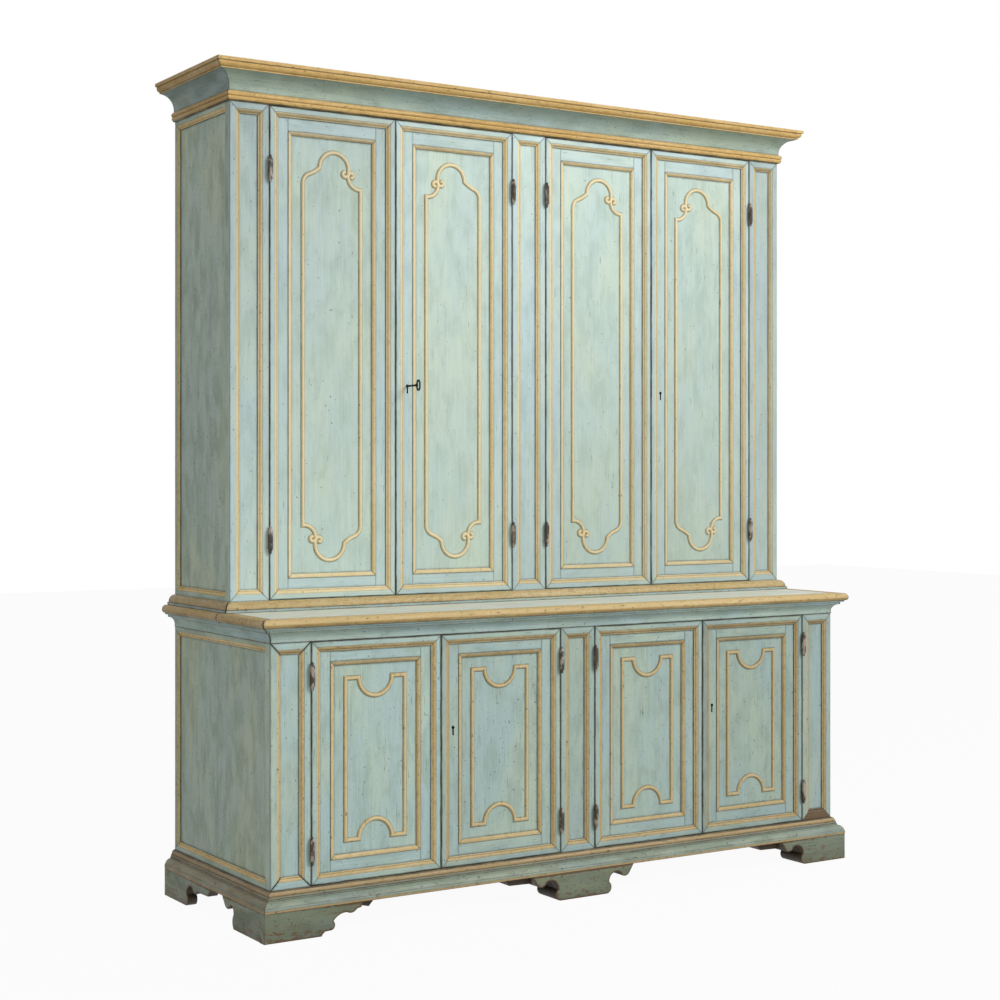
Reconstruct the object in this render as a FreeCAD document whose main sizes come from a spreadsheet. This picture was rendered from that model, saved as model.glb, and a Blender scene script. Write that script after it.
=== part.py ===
import FreeCAD, Part
import math
import os
import re
import Sketcher

# Two-part painted cupboard: a deep lower case on bracket feet, a counter, and a shallower upper case
# under a cornice. Each case has two pairs of doors between three pilasters.
# Millimetres. X runs along the front, Y towards the wall, Z up. The origin is on the floor, in the
# middle of the outline.

DOC = FreeCAD.newDocument("two_part_cupboard")
SHEET = DOC.addObject("Spreadsheet::Sheet", "Sizes")

# Driving dimensions
SIZES = {
    "case_width": 2000,
    "lower_depth": 658,
    "upper_depth": 395,
    "pilaster_width": 120,
    "lower_front_height": 662,
    "counter_thickness": 28,
    "upper_front_height": 1402,
    # boards of the cases
    "board_thickness": 24,
    "partition_thickness": 22,
    "shelf_thickness": 20,
    "shelf_gap": 5,
    "cleat_size": 20,
    "back_thickness": 14,
    "stop_height": 10,
    "stop_gap": 0.5,
    "top_board_drop": 24,
    "dowel_radius": 6,
    "dowel_depth": 14,
    "dowel_inset": 100,
    # strips planted round pilasters, case sides and doors
    "strip_raise": 9,
    "strip_ovolo": 15,
    "pilaster_strip_flat": 18,
    "side_strip_flat": 24,
    "door_strip_flat": 13,
    # mouldings round the cases
    "cornice_bead_height": 27,
    "cornice_bead_foot": 5,
    "cornice_neck": 4,
    "cornice_neck_height": 7,
    "cornice_cove_height": 45,
    "cornice_cove_reach": 43,
    "cornice_fillet": 2,
    "cornice_ovolo_height": 14,
    "cornice_ovolo_reach": 10,
    "cornice_splay_height": 3,
    "cornice_splay": 4,
    "cornice_band_height": 12,
    "plinth_fillet_height": 8,
    "plinth_fillet": 4,
    "plinth_ovolo_height": 22,
    "plinth_ovolo_reach": 18,
    "plinth_top_reach": 3,
    "counter_overhang": 42,
    "cove_foot_height": 4,
    "cove_foot_reach": 2,
    "cove_hollow_height": 26,
    "cove_hollow_reach": 17,
    "cove_fillet": 4,
    "cove_fillet_height": 8,
    "base_band_height": 9,
    "base_ogee_height": 20,
    "base_ogee_reach": 18,
    "base_quirk_height": 4,
    "base_quirk": 2,
    "base_ovolo_height": 20,
    "base_ovolo_reach": 11,
    "base_top_reach": 2,
    # feet
    "foot_thickness": 30,
    "centre_foot_flat": 82,
    "corner_foot_flat": 170,
    "side_foot_flat": 157,
    "rear_foot_flat": 168,
    "scroll_neck": 18,
    "scroll_neck_height": 37,
    "scroll_cove": 42,
    "scroll_cove_rise": 18,
    "scroll_drop": 34,
    "scroll_drop_rise": 5,
    "scroll_tail": 24,
    "scroll_tail_rise": 19,
    "block_size": 60,
    "block_gap": 12,
    # doors
    "door_gap": 3,
    "stile_width": 61,
    "upper_top_rail": 65,
    "upper_bottom_rail": 59,
    "lower_top_rail": 57,
    "lower_bottom_rail": 60,
    "stile_thickness": 24,
    "panel_thickness": 10,
    "panel_recess": 12,
    "panel_tongue": 8,
    "bead_width": 12,
    "bead_land": 4,
    "bead_rise": 3,
    "cartouche_margin": 31,
    "rod_radius": 6.5,
    "arch_radius": 47,
    "shoulder_radius": 30,
    "swell_radius": 99,
    "scroll_radius": 9,
    "ear_scroll_radius": 22,
    "bite_radius": 52,
    # hinges
    "hinge_radius": 7,
    "hinge_clear": 0.4,
    "knuckle_length": 25,
    "knuckle_gap": 0.3,
    "finial_height": 9,
    "finial_neck": 3,
    "finial_ball": 3.6,
    "pin_radius": 3,
    "pin_length": 21,
    "pin_clearance": 0.05,
    "hinge_plate": 1.2,
    "hinge_plate_depth": 25,
    "upper_hinge_high": 1221,
    "upper_hinge_low": 171,
    "lower_hinge_high": 568,
    "lower_hinge_low": 95,
    # locks, key and slide bolts
    "keyhole_land": 5,
    "keyhole_play": 2,
    "upper_keyhole_height": 618,
    "lower_keyhole_height": 395,
    "lock_inset": 4,
    "lock_space": 4,
    "lock_depth": 16,
    "lock_wall": 2,
    "slide_clearance": 0.3,
    "bolt_height": 14,
    "bolt_thickness": 8,
    "bolt_tail": 11,
    "bit_length": 18,
    "bit_width": 8,
    "bit_thickness": 3,
    "shank_radius": 3,
    "shank_reach": 48,
    "bow_height": 34,
    "bow_length": 21,
    "bow_wire": 4,
    "collar_radius": 4.6,
    "collar_length": 5,
    "bar_width": 14,
    "bar_thickness": 6,
    "bar_length": 170,
    "bar_standoff": 2,
    "bar_drop": 4,
    "knob_radius": 6,
    "knob_length": 16,
    "staple_height": 18,
    "staple_wall": 4,
}
BACK_PLANKS = 5
UPPER_SHELVES = 3
LOWER_SHELVES = 1
DOORS = (1, 2, 3, 4)

# Roundness of an arc: its radius as a multiple of half its chord
LOBE = 1.12
OVOLO = 1.45
QUARTER = math.sqrt(2)

for row, (alias, number) in enumerate(SIZES.items(), start=1):
    SHEET.set(f"A{row}", alias)
    SHEET.set(f"B{row}", str(number))
    SHEET.setAlias(f"B{row}", alias)
DOC.recompute()

# Places worked out from the driving dimensions
REAR = "((lower_depth + counter_overhang)/2)"
HALF = "(case_width/2)"
BOARD_HALF = "(case_width/2 - strip_raise)"
INNER_HALF = "(case_width/2 - strip_raise - board_thickness)"
LEAF_DEPTH = "(strip_raise + stile_thickness)"
FRONT_DEPTH = "(strip_raise + board_thickness)"
PAIR = "((case_width - 3*pilaster_width)/2)"
DOOR_WIDTH = f"(({PAIR} - 3*door_gap)/2)"
LOWER_FRONT = f"({REAR} - lower_depth)"
UPPER_FRONT = f"({REAR} - upper_depth)"
FOOT_HEIGHT = "(scroll_neck_height + scroll_cove_rise + scroll_drop_rise + scroll_tail_rise)"
BASE_HEIGHT = "(base_band_height + base_ogee_height + base_quirk_height + base_ovolo_height)"
BASE_REACH = "(base_top_reach + base_ovolo_reach + base_quirk + base_ogee_reach)"
COVE_HEIGHT = "(cove_foot_height + cove_hollow_height + cove_fillet_height)"
COVE_REACH = "(cove_foot_reach + cove_hollow_reach + cove_fillet)"
PLINTH_HEIGHT = "(plinth_fillet_height + plinth_ovolo_height)"
PLINTH_REACH = "(plinth_top_reach + plinth_ovolo_reach + plinth_fillet)"
COVE_START = "(cornice_bead_height + cornice_neck_height)"
COVE_END = f"({COVE_START} + cornice_cove_height)"
BAND_START = f"({COVE_END} + cornice_ovolo_height + cornice_splay_height)"
CORNICE_HEIGHT = f"({BAND_START} + cornice_band_height)"
CORNICE_REACH = "(cornice_neck + cornice_cove_reach + cornice_fillet + cornice_ovolo_reach + cornice_splay)"
FITTINGS_DEPTH = "max(lock_depth; bar_standoff + bar_thickness + knob_length)"
LOWER_OPENING = f"({FOOT_HEIGHT} + {BASE_HEIGHT})"
LOWER_HEAD = f"({LOWER_OPENING} + lower_front_height)"
COUNTER_UNDER = f"({LOWER_HEAD} + {COVE_HEIGHT})"
COUNTER_TOP = f"({COUNTER_UNDER} + counter_thickness)"
UPPER_OPENING = f"({COUNTER_TOP} + {PLINTH_HEIGHT})"
UPPER_HEAD = f"({UPPER_OPENING} + upper_front_height)"
UPPER_TOP = f"({UPPER_HEAD} + {CORNICE_HEIGHT} - top_board_drop)"

LOWER = {
    "name": "lower",
    "front": LOWER_FRONT,
    "foot": FOOT_HEIGHT,
    "opening": LOWER_OPENING,
    "front_height": "lower_front_height",
    "head": LOWER_HEAD,
    "top": COUNTER_UNDER,
    "ceiling": COUNTER_UNDER,
    "shelves": LOWER_SHELVES,
    "hinges": ("lower_hinge_high", "lower_hinge_low"),
    "keyhole": "lower_keyhole_height",
    "top_rail": "lower_top_rail",
    "bottom_rail": "lower_bottom_rail",
}
UPPER = {
    "name": "upper",
    "front": UPPER_FRONT,
    "foot": COUNTER_TOP,
    "opening": UPPER_OPENING,
    "front_height": "upper_front_height",
    "head": UPPER_HEAD,
    "top": UPPER_TOP,
    "ceiling": f"({UPPER_TOP} - board_thickness)",
    "shelves": UPPER_SHELVES,
    "hinges": ("upper_hinge_high", "upper_hinge_low"),
    "keyhole": "upper_keyhole_height",
    "top_rail": "upper_top_rail",
    "bottom_rail": "upper_bottom_rail",
}

X_AXIS = FreeCAD.Vector(1, 0, 0)
Y_AXIS = FreeCAD.Vector(0, 1, 0)
Z_AXIS = FreeCAD.Vector(0, 0, 1)
# A face seen straight on: local X to the right, local Y up, local Z out towards the viewer
FACING_FRONT = FreeCAD.Rotation(X_AXIS, 90)
FACING_LEFT = FreeCAD.Rotation(Z_AXIS, -90) * FACING_FRONT
FACING_RIGHT = FreeCAD.Rotation(Z_AXIS, 90) * FACING_FRONT
# A moulding's profile: sketch X becomes local Y, sketch Y becomes local Z
PROFILE_TURN = FreeCAD.Rotation(FreeCAD.Vector(1, 1, 1), 120)

NODES = []


def sized(formula):
    """Prefixes each size named in a formula with the sheet that holds it."""
    return re.sub(r"[a-z]\w*", lambda word: f"Sizes.{word[0]}" if word[0] in SIZES else word[0], formula)


def value(formula):
    return float(SHEET.evalExpression(sized(formula)))


def bind(piece, **formulas):
    for prop, formula in formulas.items():
        piece.setExpression(prop, sized(formula))


def place(piece, corner, turn=FreeCAD.Rotation()):
    piece.Placement = FreeCAD.Placement(FreeCAD.Vector(), turn)
    for axis, formula in zip("xyz", corner):
        piece.setExpression(f"Placement.Base.{axis}", sized(formula))
    return piece


def board(name, corner, extent):
    """A plain board, by its lowest corner and its extent along X, Y and Z."""
    box = DOC.addObject("Part::Box", name)
    bind(box, Length=extent[0], Width=extent[1], Height=extent[2])
    return place(box, corner)


def rod(name, corner, radius, length, turn=FreeCAD.Rotation()):
    cylinder = DOC.addObject("Part::Cylinder", name)
    bind(cylinder, Radius=radius, Height=length)
    return place(cylinder, corner, turn)


def fuse(name, pieces):
    union = DOC.addObject("Part::MultiFuse", name)
    union.Shapes = pieces
    return union


def cut(name, base, tool):
    rest = DOC.addObject("Part::Cut", name)
    rest.Base = base
    rest.Tool = tool
    return rest


def node(label, pieces):
    """Gathers the solids of one named sub-part."""
    group = DOC.addObject("Part::Compound", label)
    group.Label = label
    group.Links = pieces
    NODES.append(group)


def arc_between(start, end, radius, side):
    """An arc under a half circle; side +1 bulges to the right of the way from start to end."""
    chord = end - start
    across = FreeCAD.Vector(chord.y, -chord.x, 0).normalize()
    sagitta = radius - math.sqrt(radius**2 - (chord.Length / 2)**2)
    return Part.Arc(start, (start + end) * 0.5 + across * (side * sagitta), end)


def arc_radius(start, end):
    """The formula for the radius of an arc between two corners, from the roundness of the second."""
    chord = f"sqrt(({end[0]} - ({start[0]}))^2 + ({end[1]} - ({start[1]}))^2)"
    return f"{chord}/2*{end[2]}"


def outline(name, corners):
    """A closed sketch. A corner is (x, y) after a straight run, or (x, y, roundness, side) after an arc."""
    sketch = DOC.addObject("Sketcher::SketchObject", name)
    spots = [FreeCAD.Vector(value(corner[0]), value(corner[1]), 0) for corner in corners]
    for index, corner in enumerate(corners):
        start = spots[index - 1]
        end = spots[index]
        if len(corner) == 4:
            radius = value(arc_radius(corners[index - 1], corner))
            sketch.addGeometry(arc_between(start, end, radius, corner[3]))
        else:
            sketch.addGeometry(Part.LineSegment(start, end))
    rules = []
    formulas = {}
    for index, corner in enumerate(corners):
        following = (index + 1) % len(corners)
        end = 2 if sketch.getPoint(index, 2).isEqual(spots[index], 0.001) else 1
        start = 1 if sketch.getPoint(following, 1).isEqual(spots[index], 0.001) else 2
        rules.append(Sketcher.Constraint("Coincident", index, end, following, start))
        for kind, formula, number in zip(("DistanceX", "DistanceY"), corner, spots[index]):
            formulas[len(rules)] = formula
            rules.append(Sketcher.Constraint(kind, -1, 1, index, end, number))
        if len(corner) == 4:
            radius = arc_radius(corners[index - 1], corner)
            formulas[len(rules)] = radius
            rules.append(Sketcher.Constraint("Radius", index, value(radius)))
    sketch.addConstraint(rules)
    for rule, formula in formulas.items():
        sketch.setExpression(f"Constraints[{rule}]", sized(formula))
    return sketch


def profile(name, corners):
    """The section of a moulding: x out from what it lies on, y across."""
    sketch = outline(name, corners)
    sketch.Placement = FreeCAD.Placement(FreeCAD.Vector(), PROFILE_TURN)
    return sketch


def mitred_length(name, section, run, reach, height, ends, corner, turn):
    """One length of moulding along local X. Each end is mitred inwards (1), outwards (-1) or square (0)."""
    stick = DOC.addObject("Part::Extrusion", f"{name}_stick")
    stick.Base = section
    stick.DirMode = "Custom"
    stick.Dir = X_AXIS
    stick.Solid = True
    bind(stick, LengthFwd=f"{run} + {reach}", LengthRev=reach)
    mitre = DOC.addObject("Part::Wedge", f"{name}_mitre")
    bind(mitre, Xmin="0", Xmax=run, X2min=f"{ends[0]}*({reach})", X2max=f"{run} - ({ends[1]})*({reach})")
    bind(mitre, Ymin="0", Ymax=reach, Zmin="0", Zmax=height, Z2min="0", Z2max=height)
    length = DOC.addObject("Part::Common", name)
    length.Base = stick
    length.Tool = mitre
    return place(length, corner, turn)


def frame(name, section, corner, width, height, reach, rise):
    """Four mitred lengths round a rectangle that faces the front; corner is its lower left."""
    left, depth, low = corner
    right = f"{left} + {width}"
    high = f"{low} + {height}"
    sides = (
        ("bottom", width, (left, depth, low)),
        ("right", height, (right, depth, low)),
        ("top", width, (right, depth, high)),
        ("left", height, (left, depth, high)),
    )
    lengths = []
    for quarter, (side, run, start) in enumerate(sides):
        turn = FACING_FRONT * FreeCAD.Rotation(Z_AXIS, 90 * quarter)
        lengths.append(mitred_length(f"{name}_{side}", section, run, reach, rise, (1, 1), start, turn))
    return lengths


def surround(name, section, half_width, front, low, reach, height):
    """Three mitred lengths of moulding across the front and along both sides to the wall."""
    depth = f"({REAR} - {front})"
    ends = (
        ("front", f"(2*{half_width})", (-1, -1), (half_width, front, low), 180),
        ("left", depth, (-1, 0), (f"-{half_width}", front, low), 90),
        ("right", depth, (0, -1), (half_width, REAR, low), -90),
    )
    lengths = []
    for side, run, mitres, start, angle in ends:
        turn = FreeCAD.Rotation(Z_AXIS, angle)
        lengths.append(mitred_length(f"{name}_{side}", section, run, reach, height, mitres, start, turn))
    return lengths


# Sections of the mouldings
def strip_section(name, flat):
    return profile(name, [
        ("0", "0"),
        (f"{flat} + strip_ovolo", "0"),
        (flat, "strip_raise", OVOLO, 1),
        ("0", "strip_raise"),
    ])


PILASTER_STRIP = strip_section("pilaster_strip_section", "pilaster_strip_flat")
SIDE_STRIP = strip_section("side_strip_section", "side_strip_flat")
DOOR_STRIP = strip_section("door_strip_section", "door_strip_flat")
BEAD_HEIGHT = "(panel_recess + bead_rise)"
BEAD = profile("bead_section", [
    ("0", "0"),
    ("bead_width", "0"),
    ("bead_land", BEAD_HEIGHT, OVOLO, 1),
    ("0", BEAD_HEIGHT),
])
NECK_FACE = "(strip_raise + cornice_neck)"
COVE_LIP = f"({NECK_FACE} + cornice_cove_reach)"
OVOLO_FOOT = f"({COVE_LIP} + cornice_fillet)"
OVOLO_LIP = f"({OVOLO_FOOT} + cornice_ovolo_reach)"
CORNICE = profile("cornice_section", [
    ("0", "0"),
    ("strip_raise + cornice_bead_foot", "0"),
    (NECK_FACE, "cornice_bead_height", LOBE, 1),
    (NECK_FACE, COVE_START),
    (COVE_LIP, COVE_END, QUARTER, -1),
    (OVOLO_FOOT, COVE_END),
    (OVOLO_LIP, f"{COVE_END} + cornice_ovolo_height", OVOLO, 1),
    (f"{OVOLO_LIP} + cornice_splay", BAND_START),
    (f"{OVOLO_LIP} + cornice_splay", CORNICE_HEIGHT),
    ("0", CORNICE_HEIGHT),
])
PLINTH_FACE = f"(strip_raise + {PLINTH_REACH})"
PLINTH = profile("plinth_section", [
    ("0", "0"),
    (PLINTH_FACE, "0"),
    (PLINTH_FACE, "plinth_fillet_height"),
    (f"{PLINTH_FACE} - plinth_fillet", "plinth_fillet_height"),
    ("strip_raise + plinth_top_reach", PLINTH_HEIGHT, OVOLO, 1),
    ("0", PLINTH_HEIGHT),
])
NOSE_CENTRE = "counter_overhang - counter_thickness/2"
NOSE = profile("nose_section", [
    ("0", "0"),
    (NOSE_CENTRE, "0"),
    ("counter_overhang", "counter_thickness/2", QUARTER, 1),
    (NOSE_CENTRE, "counter_thickness", QUARTER, 1),
    ("0", "counter_thickness"),
])
COVE_FACE = f"(strip_raise + {COVE_REACH})"
HOLLOW_TOP = "(cove_foot_height + cove_hollow_height)"
COVE = profile("cove_section", [
    ("0", "0"),
    ("strip_raise + cove_foot_reach", "0"),
    ("strip_raise + cove_foot_reach", "cove_foot_height"),
    (f"{COVE_FACE} - cove_fillet", HOLLOW_TOP, OVOLO, -1),
    (COVE_FACE, HOLLOW_TOP),
    (COVE_FACE, COVE_HEIGHT),
    ("0", COVE_HEIGHT),
])
BASE_FACE = f"(strip_raise + {BASE_REACH})"
OGEE_FACE = f"({BASE_FACE} - base_ogee_reach)"
OGEE_TOP = "(base_band_height + base_ogee_height)"
QUIRK_TOP = f"({OGEE_TOP} + base_quirk_height)"
BASE = profile("base_section", [
    ("0", "0"),
    (BASE_FACE, "0"),
    (BASE_FACE, "base_band_height"),
    (OGEE_FACE, OGEE_TOP, OVOLO, 1),
    (OGEE_FACE, QUIRK_TOP),
    (f"{OGEE_FACE} - base_quirk", QUIRK_TOP),
    ("strip_raise + base_top_reach", BASE_HEIGHT, OVOLO, 1),
    ("0", BASE_HEIGHT),
])


# Feet
def scroll(flat, sign):
    """The sawn scroll at the free end of a bracket foot, from the floor up to its tail."""
    neck = f"{flat} + scroll_neck"
    cove = f"{neck} + scroll_cove"
    drop = f"{cove} + scroll_drop"
    cove_height = "scroll_neck_height + scroll_cove_rise"
    steps = (
        (neck, "scroll_neck_height", LOBE, 1),
        (cove, cove_height, LOBE, -1),
        (drop, f"{cove_height} + scroll_drop_rise", LOBE, 1),
        (f"{drop} + scroll_tail", FOOT_HEIGHT, OVOLO, -1),
    )
    corners = [(f"{sign}*({flat})", "0")]
    for across, height, roundness, side in steps:
        corners.append((f"{sign}*({across})", height, roundness, side * sign))
    return corners


def reversed_outline(corners):
    """The same corners met the other way round; an arc keeps its bulge."""
    straight = [corner[:2] for corner in corners]
    turned = [straight[-1]]
    for index in range(len(corners) - 1, 0, -1):
        arc = corners[index][2:]
        turned.append(straight[index - 1] + ((arc[0], -arc[1]) if arc else ()))
    return turned


def bracket(name, sketch, corner, turn):
    """A foot sawn from one board, standing out from its back face."""
    foot = DOC.addObject("Part::Extrusion", name)
    foot.Base = sketch
    foot.DirMode = "Custom"
    foot.Dir = Z_AXIS
    foot.Solid = True
    bind(foot, LengthFwd="foot_thickness")
    return place(foot, corner, turn)


def one_sided(name, flat, sign):
    return outline(name, [("0", "0")] + scroll(flat, sign) + [("0", FOOT_HEIGHT)])


def make_feet():
    front_back = f"({LOWER_FRONT} - {BASE_REACH} + foot_thickness)"
    side_back = f"({HALF} + {BASE_REACH} - foot_thickness)"
    outer = f"({HALF} + {BASE_REACH})"
    both = reversed_outline(scroll("centre_foot_flat", -1)) + scroll("centre_foot_flat", 1)
    centre = outline("centre_foot_outline", both)
    feet = [bracket("centre_foot", centre, ("0", front_back, "0"), FACING_FRONT)]
    block_extent = ("block_size", "block_size", f"{FOOT_HEIGHT} - block_gap")
    blocks = [board("centre_block", ("-block_size/2", front_back, "block_gap"), block_extent)]
    for side, sign, facing in (("left", -1, FACING_LEFT), ("right", 1, FACING_RIGHT)):
        flats = (("front", "corner_foot_flat", -sign, FACING_FRONT, (f"{sign}*{outer}", front_back, "0")),
                 ("side", "side_foot_flat", sign, facing, (f"{sign}*{side_back}", front_back, "0")),
                 ("rear", "rear_foot_flat", -sign, facing, (f"{sign}*{side_back}", REAR, "0")))
        for end, flat, way, turn, corner in flats:
            name = f"{side}_{end}_foot"
            feet.append(bracket(name, one_sided(f"{name}_outline", flat, way), corner, turn))
        block_left = f"{sign}*({side_back} - block_size/2) - block_size/2"
        for end, depth in (("front", front_back), ("rear", f"{REAR} - block_size")):
            blocks.append(board(f"{side}_{end}_block", (block_left, depth, "block_gap"), block_extent))
    node("bracket_feet", feet)
    node("foot_blocks", blocks)


# Cases
def make_dowels():
    """Loose pegs that locate the upper case on the counter."""
    pegs = []
    depths = (("front", f"{UPPER_FRONT} + dowel_inset"), ("rear", f"{REAR} - dowel_inset"))
    for side, sign in (("left", -1), ("right", 1)):
        for end, depth in depths:
            corner = (f"{sign}*({BOARD_HALF} - board_thickness/2)", depth, f"{COUNTER_TOP} - dowel_depth")
            pegs.append(rod(f"{side}_{end}_dowel", corner, "dowel_radius", "2*dowel_depth"))
    node("locating_dowels", pegs)
    return fuse("dowel_holes", pegs)


def make_sides(case, holes):
    front = f"{case['front']} + {FRONT_DEPTH}"
    extent = ("board_thickness", f"{REAR} - ({front})", f"{case['top']} - {case['foot']}")
    sides = []
    for side, left in (("left", f"-{BOARD_HALF}"), ("right", INNER_HALF)):
        name = f"{case['name']}_{side}_side"
        plain = board(name, (left, front, case["foot"]), extent)
        sides.append(cut(f"{name}_bored", plain, holes) if holes else plain)
    node(f"{case['name']}_sides", sides)


def make_back(case):
    width = f"(2*{INNER_HALF}/{BACK_PLANKS})"
    planks = []
    for plank in range(BACK_PLANKS):
        corner = (f"-{INNER_HALF} + {plank}*{width}", f"{REAR} - back_thickness", case["foot"])
        extent = (width, "back_thickness", f"{case['top']} - {case['foot']}")
        planks.append(board(f"{case['name']}_back_plank", corner, extent))
    node(f"{case['name']}_back_boards", planks)


def make_floor_and_rails(case):
    """The bottom board stands proud of the opening, so that the doors close against its edge."""
    name = case["name"]
    behind = f"({case['front']} + {FRONT_DEPTH})"
    inside = f"({REAR} - back_thickness - {behind})"
    floor_top = f"({case['opening']} + stop_height)"
    edge = f"({case['front']} + max({FRONT_DEPTH}; {LEAF_DEPTH} + stop_gap))"
    node(f"{name}_bottom_board", [board(
        f"{name}_floor",
        (f"-{INNER_HALF}", edge, f"{floor_top} - board_thickness"),
        (f"2*{INNER_HALF}", f"{REAR} - back_thickness - {edge}", "board_thickness"))])
    rails = []
    for rail, low, high in (("foot", case["foot"], case["opening"]), ("head", case["head"], case["top"])):
        rails.append(board(f"{name}_{rail}_rail",
                           (f"-{BOARD_HALF}", f"{case['front']} + strip_raise", low),
                           (f"2*{BOARD_HALF}", "board_thickness", f"{high} - {low}")))
    node(f"{name}_rails", rails)
    node(f"{name}_partition", [board(
        f"{name}_divider",
        ("-partition_thickness/2", behind, floor_top),
        ("partition_thickness", inside, f"{case['ceiling']} - {floor_top}"))])


def make_shelves(case):
    """Loose shelves on cleats, the same in both bays."""
    count = case["shelves"]
    floor_top = f"({case['opening']} + stop_height)"
    depth = f"({case['front']} + {LEAF_DEPTH} + {FITTINGS_DEPTH} + shelf_gap)"
    length = f"({REAR} - back_thickness - {depth})"
    width = f"({INNER_HALF} - partition_thickness/2)"
    clear = f"(({case['ceiling']} - {floor_top} - {count}*shelf_thickness)/{count + 1})"
    shelves = []
    cleats = []
    for level in range(1, count + 1):
        low = f"({floor_top} + {level}*{clear} + {level - 1}*shelf_thickness)"
        for left in (f"-{INNER_HALF}", "partition_thickness/2"):
            extent = (width, length, "shelf_thickness")
            shelves.append(board(f"{case['name']}_shelf", (left, depth, low), extent))
            for cleat_left in (left, f"{left} + {width} - cleat_size"):
                cleats.append(board(f"{case['name']}_cleat", (cleat_left, depth, f"{low} - cleat_size"),
                                    ("cleat_size", length, "cleat_size")))
    node(f"{case['name']}_shelves", shelves)
    return cleats


def make_pilasters(case):
    boards = []
    for place_along in range(3):
        left = f"-{HALF} + {place_along}*(pilaster_width + {PAIR})"
        boards.append(board(f"{case['name']}_pilaster",
                            (left, f"{case['front']} + strip_raise", case["opening"]),
                            ("pilaster_width", "board_thickness", case["front_height"])))
    node(f"{case['name']}_pilasters", boards)


def make_case_mouldings(case):
    """Picture-frame strips on the pilasters, and on the top, rear and bottom edges of both sides."""
    name = case["name"]
    face = f"{case['front']} + strip_raise"
    side_reach = "(side_strip_flat + strip_ovolo)"
    height = case["front_height"]
    low = case["opening"]
    high = f"{low} + {height}"
    strips = []
    for place_along in range(3):
        left = f"-{HALF} + {place_along}*(pilaster_width + {PAIR})"
        strips += frame(f"{name}_pilaster_strip", PILASTER_STRIP, (left, face, low),
                        "pilaster_width", height, "(pilaster_strip_flat + strip_ovolo)", "strip_raise")
    start = f"({case['front']} + {FRONT_DEPTH})"
    along = f"({REAR} - {start})"
    left_face = f"-{BOARD_HALF}"
    lengths = (
        ("left_bottom", along, (1, 0), (left_face, REAR, low), FACING_LEFT, 0),
        ("left_rear", height, (1, 1), (left_face, REAR, high), FACING_LEFT, 270),
        ("left_top", along, (0, 1), (left_face, start, high), FACING_LEFT, 180),
        ("right_bottom", along, (0, 1), (BOARD_HALF, start, low), FACING_RIGHT, 0),
        ("right_rear", height, (1, 1), (BOARD_HALF, REAR, low), FACING_RIGHT, 90),
        ("right_top", along, (1, 0), (BOARD_HALF, REAR, high), FACING_RIGHT, 180),
    )
    for side, run, ends, corner, facing, angle in lengths:
        turn = facing * FreeCAD.Rotation(Z_AXIS, angle)
        strips.append(mitred_length(f"{name}_{side}_strip", SIDE_STRIP, run, side_reach, "strip_raise",
                                    ends, corner, turn))
    node(f"{name}_case_mouldings", strips)


def make_counter(holes):
    """Front and rear boards, with a rounded nose that is jointed where the boards meet."""
    front = board("counter_front", (f"-{HALF}", LOWER_FRONT, COUNTER_UNDER),
                  (f"2*{HALF}", f"{UPPER_FRONT} - {LOWER_FRONT}", "counter_thickness"))
    rear = board("counter_rear", (f"-{HALF}", UPPER_FRONT, COUNTER_UNDER),
                 (f"2*{HALF}", f"{REAR} - {UPPER_FRONT}", "counter_thickness"))
    pieces = [front, cut("counter_rear_bored", rear, holes)]
    ledge = f"({UPPER_FRONT} - {LOWER_FRONT})"
    shelf = f"({REAR} - {UPPER_FRONT})"
    lengths = (
        ("front", f"2*{HALF}", (-1, -1), (HALF, LOWER_FRONT), 180),
        ("left_front", ledge, (-1, 0), (f"-{HALF}", LOWER_FRONT), 90),
        ("left_rear", shelf, (0, 0), (f"-{HALF}", UPPER_FRONT), 90),
        ("right_front", ledge, (0, -1), (HALF, UPPER_FRONT), -90),
        ("right_rear", shelf, (0, 0), (HALF, REAR), -90),
    )
    for side, run, ends, corner, angle in lengths:
        turn = FreeCAD.Rotation(Z_AXIS, angle)
        pieces.append(mitred_length(f"counter_nose_{side}", NOSE, run, "counter_overhang",
                                    "counter_thickness", ends, corner + (COUNTER_UNDER,), turn))
    node("counter_top", pieces)


def make_case_surrounds():
    lower_face = f"({LOWER_FRONT} + strip_raise)"
    upper_face = f"({UPPER_FRONT} + strip_raise)"
    rounds = (
        ("base_moulding", BASE, lower_face, FOOT_HEIGHT, BASE_REACH, BASE_HEIGHT),
        ("counter_cove", COVE, lower_face, LOWER_HEAD, COVE_REACH, COVE_HEIGHT),
        ("upper_plinth_moulding", PLINTH, upper_face, COUNTER_TOP, PLINTH_REACH, PLINTH_HEIGHT),
        ("cornice", CORNICE, upper_face, UPPER_HEAD, CORNICE_REACH, CORNICE_HEIGHT),
    )
    for name, section, face, low, reach, height in rounds:
        node(name, surround(name, section, BOARD_HALF, face, low, f"(strip_raise + {reach})", height))


def make_cases():
    holes = make_dowels()
    cleats = []
    for case, bored in ((LOWER, None), (UPPER, holes)):
        make_sides(case, bored)
        make_back(case)
        make_floor_and_rails(case)
        cleats += make_shelves(case)
        make_pilasters(case)
        make_case_mouldings(case)
    node("shelf_cleats", cleats)
    behind = f"({UPPER_FRONT} + {FRONT_DEPTH})"
    extent = (f"2*{INNER_HALF}", f"{REAR} - back_thickness - {behind}", "board_thickness")
    node("upper_top_board", [board("upper_lid", (f"-{INNER_HALF}", behind, UPPER["ceiling"]), extent)])
    make_counter(holes)
    make_case_surrounds()


# Doors
def door_left(number):
    bay, second = divmod(number - 1, 2)
    bay_left = f"(-{HALF} + pilaster_width + {bay}*(pilaster_width + {PAIR}))"
    return f"({bay_left} + door_gap + {second}*(door_gap + {DOOR_WIDTH}))"


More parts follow.
